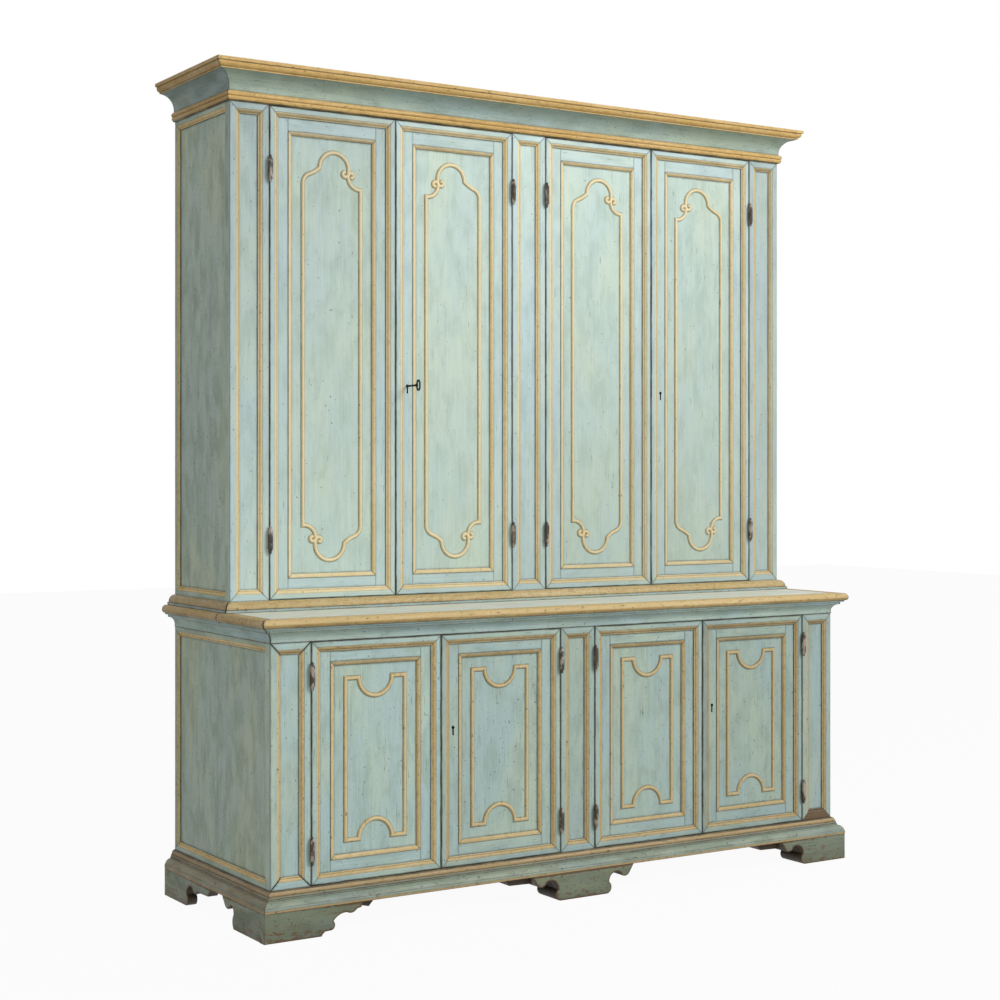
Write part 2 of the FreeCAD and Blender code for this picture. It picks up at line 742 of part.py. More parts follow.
def hangs_left(number):
    """The first door of each pair hangs on its left edge, the second on its right edge and has the lock."""
    return number % 2 == 1


def door_low(case):
    return f"({case['opening']} + door_gap/2)"


def door_height(case):
    return f"({case['front_height']} - door_gap)"


def panel_low(case):
    """Height of the upper edge of the bottom rail."""
    return f"({door_low(case)} + {case['bottom_rail']})"


def panel_height(case):
    """Clear height between the rails."""
    return f"({door_height(case)} - {case['bottom_rail']} - {case['top_rail']})"


KEYHOLE_RADIUS = "(shank_radius + keyhole_play)"
KEYHOLE_INSET = f"(stile_width - panel_tongue - keyhole_land - {KEYHOLE_RADIUS})"
KEYHOLE_SLOT = "(bit_thickness + keyhole_play)"
KEYHOLE_DROP = "(bit_length + 2*keyhole_play)"
LOCK_MARGIN = "(bit_length + lock_space + lock_wall)"


def keyhole_spot(case, number):
    return f"({door_left(number)} + {KEYHOLE_INSET})", f"({case['opening']} + {case['keyhole']})"


def keyhole(case, number):
    """A round hole over a straight slot, right through the stile."""
    across, height = keyhole_spot(case, number)
    behind = f"{case['front']} + {LEAF_DEPTH}"
    hole = rod("keyhole_round", (across, behind, height), KEYHOLE_RADIUS, LEAF_DEPTH, FACING_FRONT)
    corner = (f"{across} - {KEYHOLE_SLOT}/2", case["front"], f"{height} - {KEYHOLE_DROP}")
    slot = board("keyhole_slot", corner, (KEYHOLE_SLOT, LEAF_DEPTH, KEYHOLE_DROP))
    return fuse("keyhole", [hole, slot])


def make_leaf(case, number):
    """Two stiles, two rails between them, and a panel in their grooves."""
    name = f"{case['name']}_door_{number}"
    left = door_left(number)
    low = door_low(case)
    height = door_height(case)
    face = f"({case['front']} + strip_raise)"
    panel = board(f"{name}_panel",
                  (f"{left} + stile_width - panel_tongue", f"{face} + panel_recess",
                   f"{panel_low(case)} - panel_tongue"),
                  (f"{DOOR_WIDTH} - 2*(stile_width - panel_tongue)", "panel_thickness",
                   f"{panel_height(case)} + 2*panel_tongue"))
    rail_run = f"{DOOR_WIDTH} - 2*stile_width"
    boards = (
        ("left_stile", left, low, "stile_width", height),
        ("right_stile", f"{left} + {DOOR_WIDTH} - stile_width", low, "stile_width", height),
        ("bottom_rail", f"{left} + stile_width", low, rail_run, case["bottom_rail"]),
        ("top_rail", f"{left} + stile_width", f"{low} + {height} - {case['top_rail']}", rail_run,
         case["top_rail"]),
    )
    pieces = [panel]
    for part, across, bottom, width, tall in boards:
        plain = board(f"{name}_{part}", (across, face, bottom), (width, "stile_thickness", tall))
        grooved = cut(f"{name}_{part}_grooved", plain, panel)
        if part == "left_stile" and not hangs_left(number):
            grooved = cut(f"{name}_{part}_pierced", grooved, keyhole(case, number))
        pieces.append(grooved)
    node(f"{name}_leaf", pieces)


def bent_rod(name, radius, spot, start_angle, sweep):
    """A stretch of half-round rod bent round a centre, from start_angle through sweep degrees."""
    ring = DOC.addObject("Part::Torus", name)
    ring.Angle1 = -180
    ring.Angle2 = 0
    ring.Angle3 = sweep
    bind(ring, Radius1=radius, Radius2="rod_radius")
    ring.Placement = FreeCAD.Placement(spot, FreeCAD.Rotation(Z_AXIS, start_angle))
    return ring


def straight_rod(name, start, end):
    """A stretch of half-round rod between two spots of the panel."""
    half_round = DOC.addObject("Part::Cylinder", name)
    half_round.Angle = 180
    half_round.Height = (end - start).Length
    bind(half_round, Radius="rod_radius")
    heading = math.degrees(math.atan2(end.y - start.y, end.x - start.x))
    turn = FreeCAD.Rotation(Z_AXIS, heading) * FreeCAD.Rotation(Y_AXIS, 90) * FreeCAD.Rotation(Z_AXIS, 90)
    half_round.Placement = FreeCAD.Placement(start, turn)
    return half_round


def round_end(name, spot):
    ball = DOC.addObject("Part::Sphere", name)
    ball.Angle1 = 0
    ball.Angle2 = 90
    bind(ball, Radius="rod_radius")
    ball.Placement = FreeCAD.Placement(spot, FreeCAD.Rotation())
    return ball


def bend(name, spot, heading, radius, turn):
    """Bends on from a spot and heading, to the left if turn is positive. Gives rod, end and heading."""
    side = 1 if turn > 0 else -1
    size = value(radius)
    towards = math.radians(heading + 90 * side)
    centre = spot + FreeCAD.Vector(math.cos(towards), math.sin(towards), 0) * size
    first = heading - 90 * side
    start_angle = first if turn > 0 else first + turn
    piece = bent_rod(name, radius, centre, start_angle, abs(turn))
    last = math.radians(first + turn)
    end = centre + FreeCAD.Vector(math.cos(last), math.sin(last), 0) * size
    return piece, end, heading + turn


SHOULDER_TURN = 70
SWELL_TURN = 23
ARCH_TURN = 200
SCROLL_TURN = 170
EAR_SCROLL_TURN = 90


def scroll_crest(name, half_width, half_height, mirror):
    """The carved head of a tall cartouche: shoulder, swell and arch on one side, two scrolls on the other.
    It is drawn for a left-hand door; mirror -1 turns it round. Gives the rods and both verticals' tops."""
    turn = -mirror
    shoulder_drop = (value("shoulder_radius") * math.sin(math.radians(SHOULDER_TURN))
                     + 2 * value("swell_radius") * math.sin(math.radians(SWELL_TURN / 2))
                     * math.sin(math.radians(90 - SHOULDER_TURN + SWELL_TURN / 2)))
    foot = FreeCAD.Vector(-mirror * half_width, half_height - value("arch_radius") - shoulder_drop, 0)
    up = 90
    shoulder, spot, heading = bend(f"{name}_shoulder", foot, up, "shoulder_radius", turn * SHOULDER_TURN)
    swell, spot, heading = bend(f"{name}_swell", spot, heading, "swell_radius", -turn * SWELL_TURN)
    arch, spot_end, heading = bend(f"{name}_arch", spot, up, "arch_radius", turn * ARCH_TURN)
    curl, tip, heading = bend(f"{name}_curl", spot_end, heading, "scroll_radius", turn * SCROLL_TURN)
    rods = [shoulder, swell, round_end(f"{name}_notch", spot), arch, curl, round_end(f"{name}_curl_tip", tip)]
    corner = FreeCAD.Vector(mirror * half_width, foot.y, 0)
    inward = 90 + 90 * mirror
    ear, spot, heading = bend(f"{name}_ear", corner, inward, "ear_scroll_radius", turn * EAR_SCROLL_TURN)
    ear_curl, tip, heading = bend(f"{name}_ear_curl", spot, heading, "scroll_radius", turn * SCROLL_TURN)
    rods += [round_end(f"{name}_corner", corner), ear, ear_curl, round_end(f"{name}_ear_tip", tip)]
    return rods, foot, corner


def tall_cartouche(name, half_width, half_height, mirror):
    """Two verticals between a scrolled head and the same head turned upside down."""
    crest, left, right = scroll_crest(f"{name}_head", half_width, half_height, mirror)
    tail_crest = fuse(f"{name}_tail", scroll_crest(f"{name}_foot", half_width, half_height, mirror)[0])
    tail_crest.Placement = FreeCAD.Placement(FreeCAD.Vector(), FreeCAD.Rotation(Z_AXIS, 180))
    near = straight_rod(f"{name}_near_vertical", -right, left)
    far = straight_rod(f"{name}_far_vertical", -left, right)
    return fuse(name, crest + [tail_crest, near, far])


def low_cartouche(name, half_width, half_height):
    """A rectangle with square ears, and a half-round bite out of its top and bottom."""
    bite = value("bite_radius")
    pieces = []
    for way in (1, -1):
        pieces.append(straight_rod(f"{name}_vertical", FreeCAD.Vector(way * half_width, -half_height, 0),
                                   FreeCAD.Vector(way * half_width, half_height, 0)))
        pieces.append(bent_rod(f"{name}_bite", "bite_radius", FreeCAD.Vector(0, way * half_height, 0),
                               90 + 90 * way, 180))
        for side in (1, -1):
            ear_end = FreeCAD.Vector(side * bite, way * half_height, 0)
            corner = FreeCAD.Vector(side * half_width, way * half_height, 0)
            pieces.append(straight_rod(f"{name}_ear", ear_end, corner))
            pieces.append(round_end(f"{name}_ear_end", ear_end))
            pieces.append(round_end(f"{name}_corner", corner))
    return fuse(name, pieces)


def make_door_mouldings(case, number):
    name = f"{case['name']}_door_{number}"
    left = door_left(number)
    low = door_low(case)
    height = door_height(case)
    face = f"({case['front']} + strip_raise)"
    panel_face = f"({face} + panel_recess)"
    pieces = frame(f"{name}_strip", DOOR_STRIP, (left, face, low), DOOR_WIDTH, height,
                   "(door_strip_flat + strip_ovolo)", "strip_raise")
    pieces += frame(f"{name}_bead", BEAD, (f"{left} + stile_width", panel_face, panel_low(case)),
                    f"({DOOR_WIDTH} - 2*stile_width)", panel_height(case), "bead_width", BEAD_HEIGHT)
    half_width = value(f"{DOOR_WIDTH}/2 - stile_width - bead_width - cartouche_margin - rod_radius")
    half_height = value(f"{panel_height(case)}/2 - bead_width - cartouche_margin - rod_radius")
    if case is UPPER:
        mirror = 1 if hangs_left(number) else -1
        cartouche = tall_cartouche(f"{name}_cartouche", half_width, half_height, mirror)
    else:
        cartouche = low_cartouche(f"{name}_cartouche", half_width, half_height)
    middle = (f"{left} + {DOOR_WIDTH}/2", panel_face, f"{panel_low(case)} + {panel_height(case)}/2")
    pieces.append(place(cartouche, middle, FACING_FRONT))
    node(f"{name}_mouldings", pieces)


# Ironwork
def hinge_spot(case, number, height):
    edge = f"{door_left(number)} - door_gap/2"
    if not hangs_left(number):
        edge = f"{door_left(number)} + {DOOR_WIDTH} + door_gap/2"
    return edge, f"({case['front']} - hinge_radius - hinge_clear)", f"({case['opening']} + {height})"


def hinge_half(name, spot, side, up):
    """A knuckle with its finial and the plate let into the gap; side +1 lies on the right of the pin."""
    across, depth, middle = spot
    start = f"{middle} + {up}*knuckle_gap/2"
    length = "(knuckle_length - knuckle_gap/2)"
    low = start if up > 0 else f"{start} - {length}"
    outer = f"{middle} + {up}*knuckle_length"
    knuckle = rod(f"{name}_knuckle", (across, depth, low), "hinge_radius", length)
    finial = DOC.addObject("Part::Cone", f"{name}_finial")
    bind(finial, Radius1="hinge_radius", Radius2="finial_neck", Height="finial_height")
    place(finial, (across, depth, outer), FreeCAD.Rotation(X_AXIS, 0 if up > 0 else 180))
    ball = DOC.addObject("Part::Sphere", f"{name}_ball")
    bind(ball, Radius="finial_ball")
    place(ball, (across, depth, f"{outer} + {up}*(finial_height + finial_ball/2)"))
    plate_middle = f"{across} + {side}*(door_gap/2 - hinge_plate/2)"
    plate = board(f"{name}_plate", (f"{plate_middle} - hinge_plate/2", depth, low),
                  ("hinge_plate", "hinge_radius + hinge_clear + hinge_plate_depth", length))
    return fuse(name, [knuckle, finial, ball, plate])


def make_hinge(name, case, number, height):
    """Gives the half on the door, which is bored, and the half on the pilaster, which has the pin."""
    spot = hinge_spot(case, number, height)
    side = 1 if hangs_left(number) else -1
    upper = hinge_half(f"{name}_upper", spot, side, 1)
    bore = rod(f"{name}_bore", spot, "pin_radius + pin_clearance", "pin_length + pin_radius")
    lower = hinge_half(f"{name}_lower", spot, -side, -1)
    pin_low = (spot[0], spot[1], f"{spot[2]} - knuckle_length")
    pin = rod(f"{name}_pin", pin_low, "pin_radius", "knuckle_length + pin_length")
    return cut(f"{name}_bored", upper, bore), fuse(f"{name}_pinned", [lower, pin])


def lock_parts(case, number):
    """A rim lock on the back of the stile: its open-fronted case, and the bolt that slides out of it."""
    name = f"{case['name']}_door_{number}_lock"
    across, height = keyhole_spot(case, number)
    behind = f"({case['front']} + {LEAF_DEPTH})"
    left = f"({door_left(number)} + lock_inset)"
    low = f"({height} - {LOCK_MARGIN})"
    width = f"({across} + {LOCK_MARGIN} - {left})"
    tall = f"(2*{LOCK_MARGIN} + bolt_height + lock_space)"
    shell = board(f"{name}_shell", (left, behind, low), (width, "lock_depth", tall))
    hollow = board(f"{name}_hollow", (f"{left} + lock_wall", behind, f"{low} + lock_wall"),
                   (f"{width} - 2*lock_wall", "lock_depth - lock_wall", f"{tall} - 2*lock_wall"))
    bolt_low = f"({height} + bit_length + lock_space/2)"
    bolt_depth = f"({behind} + lock_depth/2 - bolt_thickness/2)"
    mouth = board(f"{name}_mouth",
                  (left, f"{bolt_depth} - slide_clearance", f"{bolt_low} - slide_clearance"),
                  ("lock_wall", "bolt_thickness + 2*slide_clearance", "bolt_height + 2*slide_clearance"))
    bearing = rod(f"{name}_bearing", (across, f"{behind} + lock_depth", height),
                  "shank_radius + pin_clearance", "lock_wall", FACING_FRONT)
    case_body = cut(f"{name}_case", shell, fuse(f"{name}_hollows", [hollow, mouth, bearing]))
    bolt_length = f"{KEYHOLE_INSET} - lock_inset + bolt_tail"
    bolt = board(f"{name}_bar", (left, bolt_depth, bolt_low), (bolt_length, "bolt_thickness", "bolt_height"))
    return case_body, bolt


def bar_place(case, number):
    """The slide bolt stands up the back of the free stile, just short of the head of the door."""
    middle = f"({door_left(number)} + {DOOR_WIDTH} - stile_width/2)"
    depth = f"({case['front']} + {LEAF_DEPTH} + bar_standoff)"
    high = f"({door_low(case)} + {door_height(case)} - bar_drop)"
    return middle, depth, high


def bar_staples(case, number):
    middle, depth, high = bar_place(case, number)
    staples = []
    for share in (0.2, 0.8):
        low = f"({high} - {share}*bar_length - staple_height/2)"
        outer_width = "(bar_width + 2*staple_wall)"
        block = board("staple_block",
                      (f"{middle} - {outer_width}/2", f"{depth} - bar_standoff", low),
                      (outer_width, "bar_standoff + bar_thickness + staple_wall", "staple_height"))
        way_width = "(bar_width + 2*slide_clearance)"
        way = board("staple_way",
                    (f"{middle} - {way_width}/2", f"{depth} - slide_clearance", low),
                    (way_width, "bar_thickness + 2*slide_clearance", "staple_height"))
        staples.append(cut(f"{case['name']}_door_{number}_staple", block, way))
    return staples


def make_slide_bolt(case, number):
    name = f"{case['name']}_door_{number}_slide_bolt"
    middle, depth, high = bar_place(case, number)
    bar = board(f"{name}_bar", (f"{middle} - bar_width/2", depth, f"{high} - bar_length"),
                ("bar_width", "bar_thickness", "bar_length"))
    knob = rod(f"{name}_knob", (middle, f"{depth} + bar_thickness + knob_length", f"{high} - bar_length/2"),
               "knob_radius", "knob_length", FACING_FRONT)
    node(name, [fuse(f"{name}_whole", [bar, knob])])


def make_key(case, number):
    """Stands in the keyhole with its bit down; the bow is an upright oval ring."""
    across, height = keyhole_spot(case, number)
    tip = f"({case['front']} + {LEAF_DEPTH} + lock_depth)"
    shank_end = f"({case['front']} - shank_reach)"
    shank = rod("key_shank", (across, tip, height), "shank_radius", f"{tip} - {shank_end}", FACING_FRONT)
    collar = rod("key_collar", (across, f"{shank_end} + collar_length", height), "collar_radius",
                 "collar_length", FACING_FRONT)
    bit = board("key_bit",
                (f"{across} - bit_thickness/2",
                 f"{case['front']} + {LEAF_DEPTH} + lock_depth/2 - bit_width/2", f"{height} - bit_length"),
                ("bit_thickness", "bit_width", "bit_length"))
    rings = []
    for part, shrink in (("outer", "0"), ("inner", "bow_wire")):
        oval = DOC.addObject("Part::Ellipse", f"key_bow_{part}_oval")
        bind(oval, MajorRadius=f"bow_height/2 - {shrink}", MinorRadius=f"bow_length/2 - {shrink}")
        plate = DOC.addObject("Part::Extrusion", f"key_bow_{part}")
        plate.Base = oval
        plate.DirMode = "Custom"
        plate.Dir = Z_AXIS
        plate.Solid = True
        bind(plate, LengthFwd="bow_wire")
        middle = (f"{across} + bow_wire/2", f"{shank_end} - bow_length/2 + bow_wire/2", height)
        rings.append(place(plate, middle, FreeCAD.Rotation(Y_AXIS, -90)))
    bow = cut("key_bow", rings[0], rings[1])
    node("key", [fuse("key_whole", [shank, collar, bit, bow])])


def make_doors():
    pinned_halves = []
    for case in (LOWER, UPPER):
        for number in DOORS:
            name = f"{case['name']}_door_{number}"
            make_leaf(case, number)
            make_door_mouldings(case, number)
            ironwork = []
            for height in case["hinges"]:
                door_half, pilaster_half = make_hinge(f"{name}_{height}", case, number, height)
                ironwork.append(door_half)
                pinned_halves.append(pilaster_half)
            if hangs_left(number):
                ironwork += bar_staples(case, number)
                make_slide_bolt(case, number)
            else:
                lock_case, bolt = lock_parts(case, number)
                ironwork.append(lock_case)
                node(f"{name}_lock_bolt", [bolt])
            node(f"{name}_ironwork", ironwork)
    node("hinge_pins", pinned_halves)


def write_parts():
    """Stops on anything that failed; otherwise writes one file for each sub-part."""
    DOC.recompute()
    for item in DOC.Objects:
        if "Invalid" in item.State or "Error" in item.State:
            raise RuntimeError(f"{item.Label} failed: {item.State}")
    for group in NODES:
        if group.Shape.isNull() or not group.Shape.isValid() or not group.Shape.Solids:
            raise RuntimeError(f"{group.Label} has no valid shape")
    os.makedirs("parts", exist_ok=True)
    for group in NODES:
        group.Shape.exportStep(f"parts/{group.Label}.step")


make_feet()
make_cases()
make_doors()
make_key(UPPER, 2)
write_parts()
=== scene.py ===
import math
from itertools import pairwise, product

import bmesh
import bpy
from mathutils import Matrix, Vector


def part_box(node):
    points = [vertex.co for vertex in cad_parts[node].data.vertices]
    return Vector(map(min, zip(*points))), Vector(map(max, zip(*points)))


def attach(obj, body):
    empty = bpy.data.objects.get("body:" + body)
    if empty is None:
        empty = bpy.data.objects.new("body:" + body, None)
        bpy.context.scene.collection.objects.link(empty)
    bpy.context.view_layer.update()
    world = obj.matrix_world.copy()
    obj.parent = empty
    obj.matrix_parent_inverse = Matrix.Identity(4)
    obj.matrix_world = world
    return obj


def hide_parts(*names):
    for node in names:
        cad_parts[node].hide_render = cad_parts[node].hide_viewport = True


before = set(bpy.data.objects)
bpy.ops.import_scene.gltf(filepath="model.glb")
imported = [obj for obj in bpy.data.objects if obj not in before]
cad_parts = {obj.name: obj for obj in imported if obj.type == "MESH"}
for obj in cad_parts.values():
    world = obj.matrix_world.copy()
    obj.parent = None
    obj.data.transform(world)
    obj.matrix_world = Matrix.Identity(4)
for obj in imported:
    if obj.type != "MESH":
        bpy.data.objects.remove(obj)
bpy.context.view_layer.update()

bl_info = {
    "name": "Painted Cupboard",
    "version": (1, 0, 0),
    "blender": (4, 5, 0),
    "location": "View3D > Sidebar > Cupboard",
    "description": "Dresses a painted cupboard of two cases with panelled doors",
    "category": "Object",
}

X = Vector((1.0, 0.0, 0.0))
Y = Vector((0.0, 1.0, 0.0))
Z = Vector((0.0, 0.0, 1.0))

# Roundness of an arc: its radius over half its chord
LOBE = 1.12
OVOLO = 1.45
QUARTER = math.sqrt(2)
ARC_STEPS = 9

CASES = ("lower", "upper")
DOORS = (1, 2, 3, 4)
SIDES = (-1, 1)

# Painted light and shade: how much lighter or darker each door and pilaster is at its foot and its head,
# as the lamps fall more or less on that part of the front
DOOR_LIGHT_AND_SHADE = {"lower": ((1.12, 1.12), (1.0, 1.0), (0.94, 0.94), (0.86, 0.84)),
              "upper": ((1.06, 0.88), (0.98, 1.1), (0.86, 1.14), (0.84, 1.06))}
PILASTER_LIGHT_AND_SHADE = {"lower": ((1.1, 1.12), (0.9, 0.9), (0.86, 0.86)),
                  "upper": ((1.08, 0.76), (0.88, 1.2), (0.82, 0.84))}
# Painted shade and painted highlight on a frame's ochre: bottom, right, top and left; the top lengths
# face down into shade, the bottom and left lengths face the light
OCHRE_SHADE = (0.0, 0.12, 0.46, 0.0)
OCHRE_HIGHLIGHT = (0.22, 0.0, 0.0, 0.32)
# A mask above this counts as ochre
OCHRE_FROM = 0.4
# Masks on the points: ochre, dirt with painted shade, wear with painted highlight, board number, and painted
# light and shade
MASKS = ("ochre", "grime", "wear", "seed", "tone")
# Edges that turn more than this stay sharp
SHARP = math.radians(34)

# Boards: rows of points beside the arrises, least room between rows, dirt and painted shade in a
# seam, and shift of the grain from face to face
EDGE_ROWS = (0.005, 0.018)
LEAST_ROW = 0.0004
SEAM_DIRT_AND_SHADE = 0.6
FACE_SHIFT = 0.37
# Reach of the dirt and painted shade along the counter's rear, side strips, strips, stiles, rail ends and
# beads
LEDGE_SEAM = 0.03
SIDE_SEAM = 0.008
STRIP_SEAM = 0.006
STILE_SEAM = 0.005
RAIL_SEAM = 0.003
BEAD_SEAM = 0.007

# Sections: softened corner, reach and share of wear with painted highlight beside an outer corner and of
# dirt with painted shade beside an inner one, and a corner's least turn, as a sine
EASE = 0.0007
CORNER_REACH = 0.002
WEAR_AND_HIGHLIGHT_BESIDE = 0.3
DIRT_AND_SHADE_BESIDE = 0.5
CORNER_TURN = 0.3
# Dirt at the end of a moulding as (share of its reach, strength), and its reach at closed and open joints
END_DIRT = ((0.0, 1.0), (0.25, 0.45), (1.0, 0.0))
END_REACH = 0.005
OPEN_REACH = 0.009
# Dirt and painted shade along the joint of a surrounding moulding with the case, under the cornice and
# at the top of the base
JOINT_DIRT_AND_SHADE = 0.9
JOINT_REACH = 0.0026
# Steps from the seed of one length of moulding to the next, in a frame and in a surround
FRAME_SEED = 1.7
SIDE_SEED = 3.7
SIDE_SEED_STEP = 1.4

# Sawn boards, from the back to the face: inset, wear, dirt with painted shade, and painted light and
# shade of each ring of points; the back rings, which make the sawn edges, are dark with painted shade
SAWN_RINGS = ((0.0, 1.0, 0.95, 0.45), (0.0, 1.0, 0.8, 0.55), (0.0015, 0.95, 0.35, 0.8),
              (0.0035, 0.85, 0.3, 0.9), (0.006, 0.5, 0.12, 1.0))
# Wear, grime and tone of the end that meets the next board
SAWN_END = (0.42, 0.1, 1.0)
SAWN_ARRIS = 0.0015
# How high the worn sole of a foot reaches, and its dirt and wear
SOLE = 0.05
SOLE_DIRT = 0.6
SOLE_WEAR = 0.85
# Dirt with painted shade of an unpainted block, and how far painted shade darkens it
BARE_DIRT_AND_SHADE = 0.8
BARE_SHADE = 0.4

# Counter: the painted shadow before the upper case, rub of the front and side noses, and painted shade
# of the side noses
LEDGE_SHADOW = 0.025
NOSE_RUB = 0.42
SIDE_NOSE_RUB = 0.16
SIDE_NOSE_SHADE = 0.8

# Painted shade on the outer edge of the strips on pilasters, sides and doors, beside the gaps
PILASTER_EDGE_SHADE = 0.55
SIDE_EDGE_SHADE = 0.3
DOOR_EDGE_SHADE = 1.0
# Wear of the bare patch at the foot of the lower right pilaster
BARE_PATCH = 0.95
# Dirt on a door's free edge, with painted shade where the door stands a little proud of its neighbour
FREE_DIRT_AND_SHADE = {"lower": 0.4, "upper": 0.1}
# Keyhole: steps of its round end, how far its cutter passes the door, and how near a point counts as its edge
KEYHOLE_STEPS = 16
KEYHOLE_PASS = 0.02
KEYHOLE_NEAR = 1.05

# Back planks, the room of a nail from a plank's end, and its places across a plank
PLANKS = 5
NAIL_INSET = 0.03
NAIL_PLACES = (0.14, 0.5, 0.86)
NAIL_RISE = 0.0008
NAIL_SIDES = 10

# Room between pilaster and door, between rail and stile, and how far a panel reaches under its frame
DOOR_GAP = 0.003
RAIL_ROOM = 0.0002
PANEL_LAP = 0.001

# Lamps: name, place, target, size and watts
LAMPS = (("key_light", (4.2, -6.6, 5.4), (0.0, -0.1, 1.2), 3.4, 445.0),
         ("fill_light", (-4.2, -4.2, 2.6), (0.0, 0.0, 1.2), 3.0, 26.0))
CAMERA_PLACE = (-3.1301, -4.8063, 1.2540)
CAMERA_TURN = math.radians(-32.42)
CAMERA_LENS = 66.538
CAMERA_SENSOR = 36.0
CAMERA_SHIFT = -0.02825
FLOOR_REACH = 14.0
FLOOR_ROUGHNESS = 0.9
FLOOR_WHITE = 0.95
SKY = (0.93, 0.97, 1.0)
SKY_STRENGTH = 0.45

# Blue, ochre and wear of each paint
PAINTS = {
    "upper_paint": ("upper_blue", "upper_ochre", "upper"),
    "upper_panel": ("upper_green", "upper_ochre", "upper"),
    "lower_paint": ("lower_blue", "lower_ochre", "lower"),
    "lower_panel": ("lower_green", "lower_ochre", "lower"),
    "side_paint": ("side_blue", "side_ochre", "side"),
    "cornice_paint": ("cornice_blue", "cornice_ochre", "side"),
    "plinth_paint": ("lower_blue", "lower_ochre", "base"),
    "counter_paint": ("lower_blue", "nose_ochre", "base"),
    # The ledge's paint is lighter and cleaner, partly as a painted reflection
    "ledge_paint": ("ledge_blue", "nose_ochre", "upper"),
    "base_paint": ("base_blue", "base_ochre", "base"),
    "foot_paint": ("foot_blue", "base_ochre", "base"),
}
# Fittings and boards that keep their CAD shape, by finish
INSIDE = {
    "pine_x": ("upper_top_board", "lower_bottom_board", "upper_bottom_board", "lower_shelves",
               "upper_shelves", "lower_rails", "upper_rails"),
    "pine_z": ("foot_blocks", "locating_dowels", "lower_partition", "upper_partition"),
    "pine_y": ("shelf_cleats",),
}

# Corners of the surrounding mouldings, as section takes them, with their rub and the strength of the dirt
# and painted shade in their creases
PROFILES = {
    "base_moulding": ((
        (0.0, 0.0, 0.0), (0.042, 0.0, 0.0), (0.042, 0.0065, 1.0), (0.0405, 0.013, 0.2, 2.4, 1),
        (0.024, 0.029, 0.0, 1.8, 1), (0.024, 0.033, 0.0), (0.022, 0.033, 0.0), (0.022, 0.040, 0.42),
        (0.019, 0.0405, 1.0), (0.011, 0.053, 1.0, OVOLO, 1), (0.0, 0.053, 0.0),
    ), 1.0, 1.0),
    "counter_cove": ((
        (0.0, 0.0, 0.0), (0.011, 0.0, 0.0), (0.011, 0.004, 0.0), (0.028, 0.030, 0.0, OVOLO, -1),
        (0.032, 0.030, 0.0), (0.032, 0.038, 0.0), (0.0, 0.038, 0.0),
    ), 1.0, 1.0),
    "upper_plinth_moulding": ((
        (0.0, 0.0, 0.0), (0.034, 0.0, 0.0), (0.034, 0.008, 0.0), (0.030, 0.008, 0.0),
        (0.012, 0.030, 1.0, OVOLO, 1), (0.0, 0.030, 0.0),
    ), 1.0, 1.0),
    "cornice": ((
        (0.0, 0.0, 0.0), (0.012, 0.0, 1.0), (0.0195, 0.012, 1.0, OVOLO, 1), (0.0165, 0.0135, 1.0),
        (0.021, 0.019, 1.0, OVOLO, 1), (0.013, 0.028, 1.0, OVOLO, 1), (0.013, 0.034, 0.0),
        (0.056, 0.079, 0.0, QUARTER, -1), (0.058, 0.079, 1.0), (0.058, 0.083, 1.0),
        (0.067, 0.095, 1.0, OVOLO, 1), (0.067, 0.0975, 1.0), (0.072, 0.099, 1.0), (0.072, 0.108, 1.0),
        (0.0, 0.108, 0.0),
    ), 0.55, 0.85),
}
# Their case, paint, slot, level of the joint with dirt and painted shade, open mitres, rub, and painted
# shade and ochre of the sides
SURROUNDS = {
    "base_moulding": ("lower", "base_paint", "ochre_paint", 0.053, False, 0.4, 0.74, 0.5),
    "counter_cove": ("lower", "lower_paint", "painted_wood", 0.0, True, 0.0, 0.95, 0.0),
    "upper_plinth_moulding": ("upper", "plinth_paint", "ochre_paint", None, True, 0.0, 0.74, 0.0),
    "cornice": ("upper", "cornice_paint", "ochre_paint", 0.0, False, 0.0, 0.68, 0.0),
}


def linear(red, green, blue):
    """A colour written in 0 to 255 steps, as scene linear values."""
    shares = (red / 255, green / 255, blue / 255)
    return tuple(s / 12.92 if s <= 0.04045 else ((s + 0.055) / 1.055) ** 2.4 for s in shares)


def length(name, description, default):
    return bpy.props.FloatProperty(name=name, description=description, default=default, min=0.0,
                                   unit="LENGTH", precision=4)


def colour(name, description, default):
    return bpy.props.FloatVectorProperty(name=name, description=description, default=default, size=3,
                                         min=0.0, max=1.0, subtype="COLOR")


def share(name, description, default):
    return bpy.props.FloatProperty(name=name, description=description, default=default, min=0.0, max=1.0,
                                   subtype="FACTOR")


